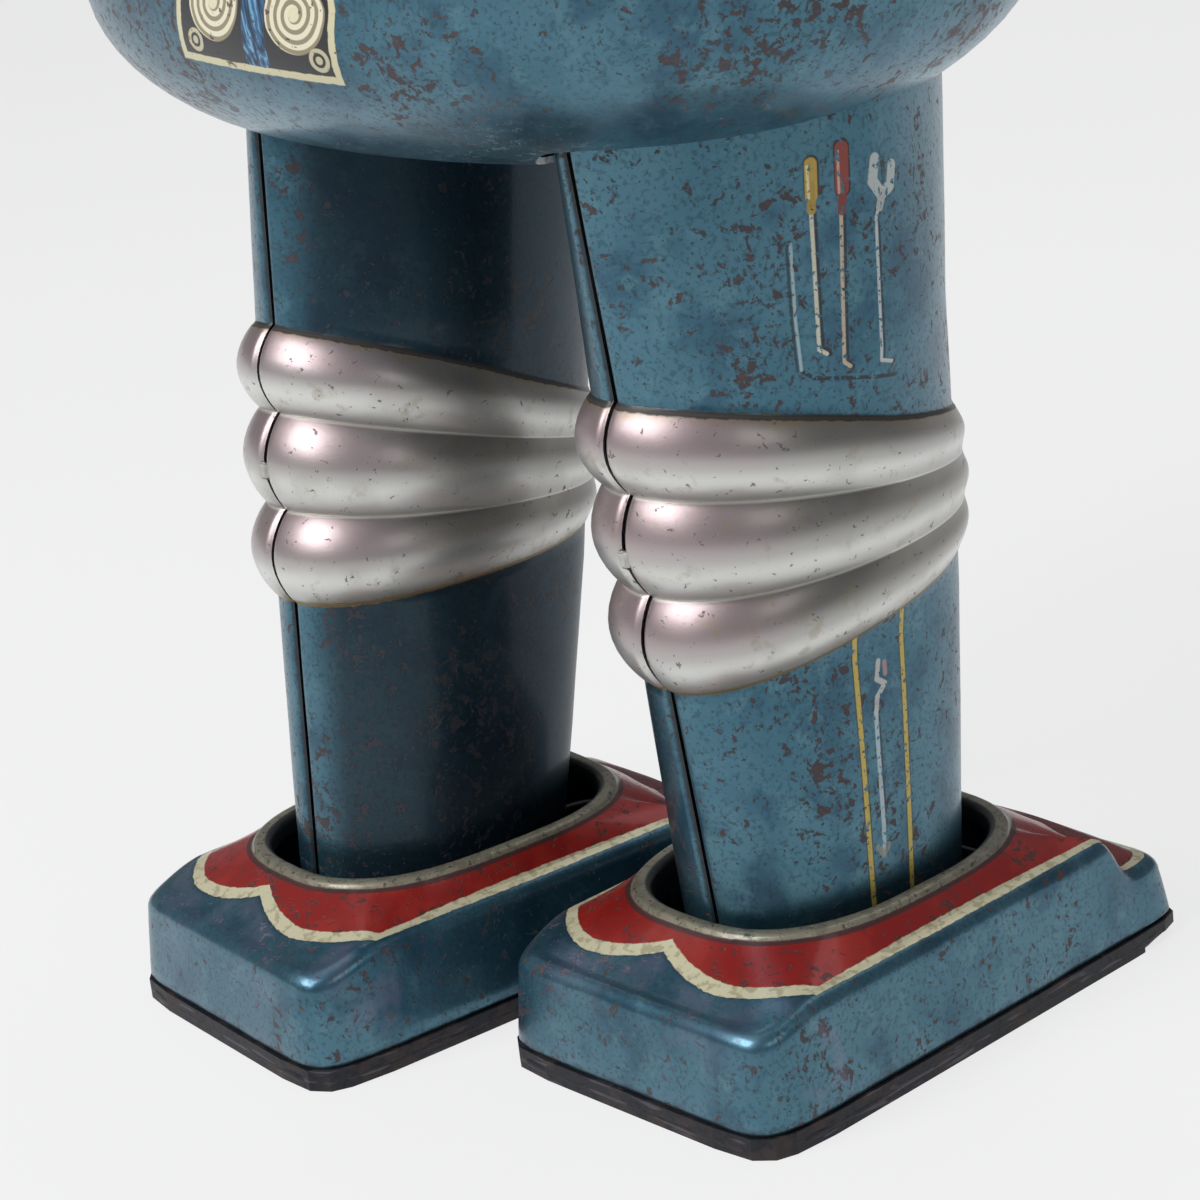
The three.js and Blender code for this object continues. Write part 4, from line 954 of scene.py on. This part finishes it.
def shoe_profile():
    """Rows of the shell from hem to opening, as functions of the polar angle."""
    rows = [lambda a, i=i, f=f: shoe_ring(a, i, lambda y: mix(HEM + 0.1, shoe_edge(y) - 2.9, f))
            for i, f in ((0.25, 0.0), (0.0, 0.06), (0.1, 0.2), (0.28, 0.4), (0.46, 0.6), (0.66, 0.8),
                         (0.9, 1.0))]
    for k in range(1, 7):
        a0 = math.pi / 2 * k / 6
        inset, drop = 3.6 - 2.7 * math.cos(a0), 2.9 * (1 - math.sin(a0))
        rows.append(lambda a, i=inset, d=drop: shoe_ring(a, i, lambda y: shoe_edge(y) - d))
    parts = (0.05, 0.12, 0.2, 0.3, 0.42, 0.54, 0.66, 0.78, 0.88, 0.95, 1.0)
    rows += [lambda a, p=p: deck_point(a, p) for p in parts]
    for inset, z in ((0.15, 23.75), (0.5, 24.05), (1.0, 24.2), (1.7, 24.2), (2.3, 24.05), (2.8, 23.6),
                     (3.0, 22.9), (3.0, 21.2)):
        rows.append(lambda a, i=inset, z=z: opening(a, i, z))
    return rows


def shoe_angles():
    """Polar angles packed toward the corners, where the outline turns."""
    corner = math.atan2(SHOE_HALF[1], SHOE_HALF[0])
    quarter = []
    for k in range(26):
        t = k / 26
        quarter.append(corner * (1 - (1 - t) ** 1.5))
    for k in range(26):
        t = k / 26
        quarter.append(mix(corner, math.pi / 2, t ** 1.5))
    angles = quarter + [math.pi - a for a in reversed(quarter[1:])]
    angles.insert(len(quarter), math.pi / 2)
    return angles + [a + math.pi for a in angles]


def shoe_shell(seed):
    angles = shoe_angles()
    rows = shoe_profile()
    grid = np.array([[row(a) for a in angles] for row in rows], float)
    steps = np.linalg.norm(np.diff(grid, axis=0), axis=2)
    run = np.concatenate([np.zeros((1, len(angles))), np.cumsum(steps, axis=0)])
    rim = run - run[11]
    ring = run - run[23]
    grid = dented(grid, True, 0.22, 9.0, seed)
    return grid, {"rim": rim, "ring": ring}


def shoe_matrix(side):
    place = Matrix.Translation((side * STANCE / 2, side * STRIDE, 0))
    return place @ Matrix.Rotation(side * TOE_OUT, 4, "Z")


def hem_roll():
    """The rolled hem round the foot, lifted a little under the heel."""
    path = []
    for a in shoe_angles():
        x, y, lift = shoe_ring(a, 0.95, lambda y: 0.55 * smooth(36, 40, y))
        path.append((x, y, 1.4 + lift + 0.06 * noise.noise(Vector((x * 0.2, y * 0.2, 0)))))
    return tube(path, (1.3, 1.3), 14, True)


ROLLER_PROFILE = rounded([(1.0, -4), (5.0, -4), (5.0, 4), (1.0, 4), (1.0, 8.2), (0, 8.2), (0, -8.2),
                          (1.0, -8.2)], 0.5)

for name, side in SIDES:
    finish = shoe_finish(f"litho_{name}_shoe", 73.0 if side > 0 else 91.0)
    grid, extras = shoe_shell(5.0 * side)
    foot = f"{name}_foot"
    piece(f"{name}_shoe", sheet_mesh(grid, SHEET, True, extras), finish, foot,
          [f"{name}_shoe_shell"], side, shoe_matrix(side))
    piece(f"{name}_shoe_hem", hem_roll(), HEM_DARK, foot, (), side, shoe_matrix(side))
    for y, word in zip(ROLLER_Y, ("front", "rear")):
        piece(f"{name}_{word}_wheel", turned(ROLLER_PROFILE, (1, 0, 0), (0, y, ROLLER_Z)), RUBBER,
              f"{name}_{word}_wheel", [f"{name}_{word}_roller"], side, shoe_matrix(side))


# ---- body ---------------------------------------------------------------------------------
def body_ring(count, inset, z):
    ring = []
    for k in range(count):
        x, y = oval(TAU * k / count, BODY_HALF, BODY_FULL, inset)
        ring.append((x, y + BODY_Y, z))
    return ring


def body_skin(rows, gauge):
    grid = np.array(rows, float)
    return dented(grid, True, 0.2, 19.0, gauge)


BODY_COUNT = 144
lower_rows = []
base_ring = body_ring(BODY_COUNT, BOWL_ACROSS, BODY_BOTTOM)
for part in (0.02, 0.35, 0.7, 0.9):
    lower_rows.append([(x * part, BODY_Y + (y - BODY_Y) * part, z) for x, y, z in base_ring])
for angle in spread(0, math.pi / 2, 18):
    lower_rows.append(body_ring(BODY_COUNT, BOWL_ACROSS * (1 - math.sin(angle)),
                                BODY_BOTTOM + BOWL_UP * (1 - math.cos(angle))))
for z in (160, 165, 170, 174.6, 175.2, 175.65):
    lower_rows.append(body_ring(BODY_COUNT, 0.0 if z < 175 else 0.12 * (z - 174.6), z))

leg_holes = []
for _, side in SIDES:
    centre = side * (STANCE / 2 + LEG_OFFSET + 1.5)
    hole = []
    for k in range(72):
        a = TAU * k / 72
        hole.append((centre + 22.75 * power(math.cos(a), 1.25), 6 + 35.2 * power(math.sin(a), 1.25)))
    leg_holes.append(prism(hole, 110, 146))


def side_hole(radius, place, count=48):
    """A round cutter through the body's right side, at a (y, z) place."""
    start, end = -BODY_HALF[0] - 5, -BODY_HALF[0] + 14
    return turned([(0, start), (radius, start), (radius, end), (0, end)], (1, 0, 0), (0, *place), count)


piece("body_bowl", sheet_mesh(body_skin(lower_rows, 1.3), SHEET, True, {}), BODY_PAINT, "root",
      ["lower_body_shell"],
      cutters=[*leg_holes, side_hole(4, ARBOR), side_hole(2, STOP_ROD, 32)])

# how far each row is drawn in, and its height
UPPER_PROFILE = ((0.12, WAIST), (0.0, WAIST + 0.5), (0, 179), (0.1, 186), (0.5, 193), (1.2, 200),
                 (2.2, 206), (3.1, 211), (4.5, 215.6), (6.2, 218.6), (8.4, 220.6), (11.5, 222.4),
                 (15, 223.8), (20, 224.8))
upper_rows = [body_ring(BODY_COUNT, inset, z) for inset, z in UPPER_PROFILE]
top_ring = np.array(upper_rows[-1], float)
neck_turns = [TAU * k / BODY_COUNT for k in range(BODY_COUNT)]
neck_ring = np.array([(NECK * math.cos(a), NECK * math.sin(a), BODY_TOP) for a in neck_turns], float)
upper_rows += [list(map(tuple, mix(top_ring, neck_ring, part))) for part in (0.35, 0.7, 1.0)]
shoulder_hole = turned([(0, -80), (3.35, -80), (3.35, 80), (0, 80)], (1, 0, 0), (0, 0, SHOULDER), 32)
piece("body_upper", sheet_mesh(body_skin(upper_rows, 2.6), SHEET, True, {}), BODY_PAINT, "root",
      ["upper_body_shell"], cutters=[shoulder_hole])


# ---- head ---------------------------------------------------------------------------------
HEAD_COUNT = 96
# how far each row is drawn in, and its height; the last row leaves the crown open round the aerial
HEAD_PROFILE = ((0.5, 231), (0.0, 231.6), (0, 240), (0, 250), (0, 260), (0, 267), (0.3, 270), (1.2, 273.4),
                (2.9, 276.4), (5.2, 278.7), (8.2, 280.2), (12, 281), (18, 281.45), (25.5, 281.6))
head_rows = []
for inset, z in HEAD_PROFILE:
    ring = []
    for k in range(HEAD_COUNT):
        half = (HEAD_HALF[0] - inset, HEAD_HALF[1] - 0.9 * inset)
        x, y = oval(TAU * k / HEAD_COUNT, half, HEAD_FULL)
        ring.append((x, y, z))
    head_rows.append(ring)


def forward_bar(radius, x, z):
    return turned([(0, 12), (radius, 12), (radius, 40), (0, 40)], (0, -1, 0), (x, 0, z))


MOUTH_CORNERS = ((13, 3.5), (-13, 3.5), (-13, -3.5), (13, -3.5))
mouth_z = HEAD_Z[0] + MOUTH_RISE
mouth = grid_mesh(np.array([[(x, y, mouth_z + z) for x, z in MOUTH_CORNERS] for y in (-40, -15)], float))
ear_bore = turned([(0, -40), (3, -40), (3, 40), (0, 40)], (1, 0, 0), (0, 0, HEAD_Z[0] + EAR_RISE), 32)
eye_bores = [forward_bar(6.5, x, HEAD_Z[0] + EYE_RISE) for x in (-EYE_X, EYE_X)]
head_skin = dented(np.array(head_rows, float), True, 0.15, 15.0, 4.0)
piece("head", sheet_mesh(head_skin, SHEET, True, {}), PLAIN_PAINT, "root", ["head_shell"],
      cutters=[*eye_bores, mouth, ear_bore])

LENS = rounded([(0, -1.4), (5.9, -1.4), (5.9, 1.2), (8, 1.2), (7.4, 2.6), (4, 4), (0, 4.6)], 0.8)
EAR = rounded([(0, 0), (2.6, 0), (2.6, 2.4), (9, 2.4), (8, 4.4), (3, 5.4), (3, 8), (1.6, 9), (0, 9)], 0.7)
for name, side in SIDES:
    eye_place = (EYE_X, -HEAD_HALF[1], HEAD_Z[0] + EYE_RISE)
    ear_place = (HEAD_HALF[0] - 1.8, 0, HEAD_Z[0] + EAR_RISE)
    piece(f"{name}_lens", turned(LENS, (0, -1, 0), eye_place), AMBER, "root",
          [f"{name}_eye_lens"], side)
    piece(f"{name}_ear", turned(EAR, (1, 0, 0), ear_place), RED, "root",
          [f"{name}_ear_disc"], side)

grille = [block((25, 1.2, 6.2), (0, -HEAD_HALF[1] + 1.6, mouth_z), 0.3)]
grille += [block((1.8, 3, 5.2), ((i - 2) * 4.6, -HEAD_HALF[1] + 0.8, mouth_z), 0.5) for i in range(5)]
piece("grille", merged(*grille), SILVER, "root", ["mouth_grille"])
COLLAR = rounded([(NECK - 2, 0), (NECK + 1.5, 0), (NECK + 1.5, 2), (NECK - 0.2, 4), (NECK - 2, 4)], 0.5)
piece("collar", turned(COLLAR, (0, 0, 1), (0, 0, BODY_TOP + 0.4), 72), SILVER, "root",
      ["neck_collar"])
ball = [(2.6 * math.sin(a), 12 - 2.6 * math.cos(a)) for a in spread(0.32, math.pi, 16)]
AERIAL = [(0, 0), (0.8, 0), (0.8, 9.5)] + ball[:-1] + [(0, 14.6)]
piece("aerial_rod", turned(AERIAL, (0, 0, 1), (0, 0, HEAD_Z[1] + 1)), STEEL, "root", ["aerial"])


# ---- arms ---------------------------------------------------------------------------------
def arm_half(half):
    """Half of the bent arm: shoulder dome, elbow, open cuff."""
    path = []
    for part in (0.0, 0.08, 0.2, 0.35, 0.5, 0.7, 0.85, 1.0):
        rise = ARM_RADIUS * math.cos(part * math.pi / 2)
        path.append((0.0, 0.0, rise, max(0.02, ARM_RADIUS * math.sin(part * math.pi / 2))))
    for part in (0.33, 0.66, 1.0):
        path.append((0.0, 0.0, -(ELBOW_DROP - ELBOW_BEND) * part, ARM_RADIUS - 1.2 * part))
    for part in spread(0.08, 1.0, 12):
        a = part * math.pi / 2
        path.append((a, -ELBOW_BEND * (1 - math.cos(a)), -ELBOW_DROP + ELBOW_BEND - ELBOW_BEND * math.sin(a),
                     ARM_RADIUS - 1.2 - 0.2 * part))
    for part in (0.25, 0.5, 0.75, 0.9, 1.0):
        path.append((math.pi / 2, -ELBOW_BEND - (FOREARM - ELBOW_BEND) * part, -ELBOW_DROP,
                     ARM_RADIUS - 1.4 - 1.2 * part + (0.35 if 0.8 < part < 0.95 else 0)))
    rows = []
    for a, y, z, r in path:
        row = []
        for around in spread(-math.pi / 2, math.pi / 2, 37):
            out = r * math.sin(around)
            x = max(min(r, SEAM / 2), r * math.cos(around))
            row.append((half * x, y + out * math.cos(a), z - out * math.sin(a)))
        rows.append(row)
    return np.array(rows, float)


def hand_parts():
    """A wrist plug and a C-shaped claw."""
    start, end = FOREARM - 6, FOREARM + 10
    plug = rounded([(0, start), (5.4, start), (5.4, end), (0, end)], 0.8)
    wrist = turned(plug, (0, -1, 0), (0, 0, -ELBOW_DROP))
    outer = (HAND_REACH - FOREARM - 5) / 2
    gap = 0.22 * math.pi
    centre = -HAND_REACH + outer * math.sin(gap)
    corners = [(outer - 3.2, -3.5), (outer, -3.5), (outer, 3.5), (outer - 3.2, 3.5)]
    section = rounded(corners, 0.9)
    rows = []
    for a in spread(-gap, math.pi + gap, 40):
        rows.append([(h, centre + r * math.sin(a), -ELBOW_DROP + r * math.cos(a)) for r, h in section])
    return merged(wrist, grid_mesh(np.array(rows, float)))


def arm_matrix(side):
    return Matrix.Translation((side * ARM_X, 0, SHOULDER))


for name, side in SIDES:
    body = f"{name}_arm"
    for half, word in ((1, "outer"), (-1, "inner")):
        piece(f"{name}_arm_{word}_shell", sheet_mesh(arm_half(half), SHEET, False, {}), PLAIN_PAINT, body,
              [f"{name}_arm_{word}_half"], side, arm_matrix(side))
    piece(f"{name}_claw", hand_parts(), RED, body, [f"{name}_hand"], side, arm_matrix(side))


# ---- key ----------------------------------------------------------------------------------
def key_wing(direction):
    """A ring-shaped lobe of the key, flat across the arbor."""
    centre = (-BODY_HALF[0] - 17.5, ARBOR[0], ARBOR[1] + direction * 6.8)
    section = rounded([(3.2, -0.8), (6.2, -0.8), (6.2, 0.8), (3.2, 0.8)], 0.4)
    return turned(section, (0, 1, 0), centre, 40)


shank = rounded([(2.35, -BODY_HALF[0] - 1.2), (3.6, -BODY_HALF[0] - 1.2), (3.6, -BODY_HALF[0] - 14),
                 (0, -BODY_HALF[0] - 14), (0, -BODY_HALF[0] - 11), (2.35, -BODY_HALF[0] - 11)], 0.5)
key_parts = [turned(shank, (1, 0, 0), (0, *ARBOR)), key_wing(1), key_wing(-1),
             block((7, 1.6, 6), (-BODY_HALF[0] - 15.5, ARBOR[0], ARBOR[1]), 0.4)]
piece("key_handle", merged(*key_parts), STEEL, "key", ["winding_key"])

# ---- CAD nodes that stay, with their finishes ----------------------------------------------
BRASS_NODES = ("left_movement_plate", "right_movement_plate", "great_wheel", "crank_wheel")
for name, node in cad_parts.items():
    if node.hide_render:
        continue
    finish = STEEL_CAD
    if name in BRASS_NODES:
        finish = BRASS_CAD
    elif name.endswith("_sole"):
        finish = HEM_CAD
    node.data.materials.clear()
    node.data.materials.append(finish)

# ---- floor, light and camera --------------------------------------------------------------
floor_mesh = bpy.data.meshes.new("floor")
floor_mesh.from_pydata([(-6, -6, 0), (6, -6, 0), (6, 6, 0), (-6, 6, 0)], [], [(0, 1, 2, 3)])
floor = bpy.data.objects.new("floor", floor_mesh)
floor_mesh.materials.append(liner("pale_paper", 101.0))
bpy.context.scene.collection.objects.link(floor)

PALE = colour("#ededed")
world = bpy.data.worlds.new("room")
bpy.context.scene.world = world
world.use_nodes = True
tree = world.node_tree
backdrop = tree.nodes["Background"]
backdrop.inputs["Color"].default_value = PALE
backdrop.inputs["Strength"].default_value = 1.0
room = tree.nodes.new("ShaderNodeBackground")
room.inputs["Color"].default_value = colour("#c8ccd2")
room.inputs["Strength"].default_value = 0.3
path = tree.nodes.new("ShaderNodeLightPath")
blend_node = tree.nodes.new("ShaderNodeMixShader")
tree.links.new(path.outputs["Is Camera Ray"], blend_node.inputs[0])
tree.links.new(room.outputs[0], blend_node.inputs[1])
tree.links.new(backdrop.outputs[0], blend_node.inputs[2])
tree.links.new(blend_node.outputs[0], tree.nodes["World Output"].inputs[0])


def soft_light(name, azimuth, elevation, distance, size, power_watts, target=(0, 0, 0.08)):
    """A square area light aimed at the toy; azimuth 0 is in front of it, 90 at its left."""
    light = bpy.data.lights.new(name, "AREA")
    light.size = size
    light.energy = power_watts
    obj = bpy.data.objects.new(name, light)
    az, el = math.radians(azimuth), math.radians(elevation)
    back = Vector((math.sin(az) * math.cos(el), -math.cos(az) * math.cos(el), math.sin(el)))
    obj.location = Vector(target) + back * distance
    obj.rotation_euler = (-back).to_track_quat("-Z", "Y").to_euler()
    bpy.context.scene.collection.objects.link(obj)
    return obj


soft_light("key", -6, 42, 1.0, 0.6, 9.5)
soft_light("fill", 80, 30, 1.2, 0.4, 1.2)
soft_light("top", 200, 75, 1.2, 1.2, 5)

camera_data = bpy.data.cameras.new("camera")
camera = bpy.data.objects.new("camera", camera_data)
bpy.context.scene.collection.objects.link(camera)
AZIMUTH, ELEVATION, ROLL = math.radians(51.93), math.radians(18.39), math.radians(-6.55)
back = Vector((math.sin(AZIMUTH) * math.cos(ELEVATION), -math.cos(AZIMUTH) * math.cos(ELEVATION),
               math.sin(ELEVATION)))
right = Vector((math.cos(AZIMUTH), math.sin(AZIMUTH), 0))
up = back.cross(right)
x_axis = right * math.cos(ROLL) + up * math.sin(ROLL)
y_axis = back.cross(x_axis)
turn = Matrix((x_axis, y_axis, back)).transposed().to_4x4()
camera.matrix_world = Matrix.Translation(Vector((337.06, -265.25, 202.58)) * MM) @ turn
camera_data.lens = 92.45
camera_data.sensor_width = 36
camera_data.clip_start = 0.01
camera_data.clip_end = 50
bpy.context.scene.camera = camera
bpy.context.scene.view_settings.view_transform = "Standard"
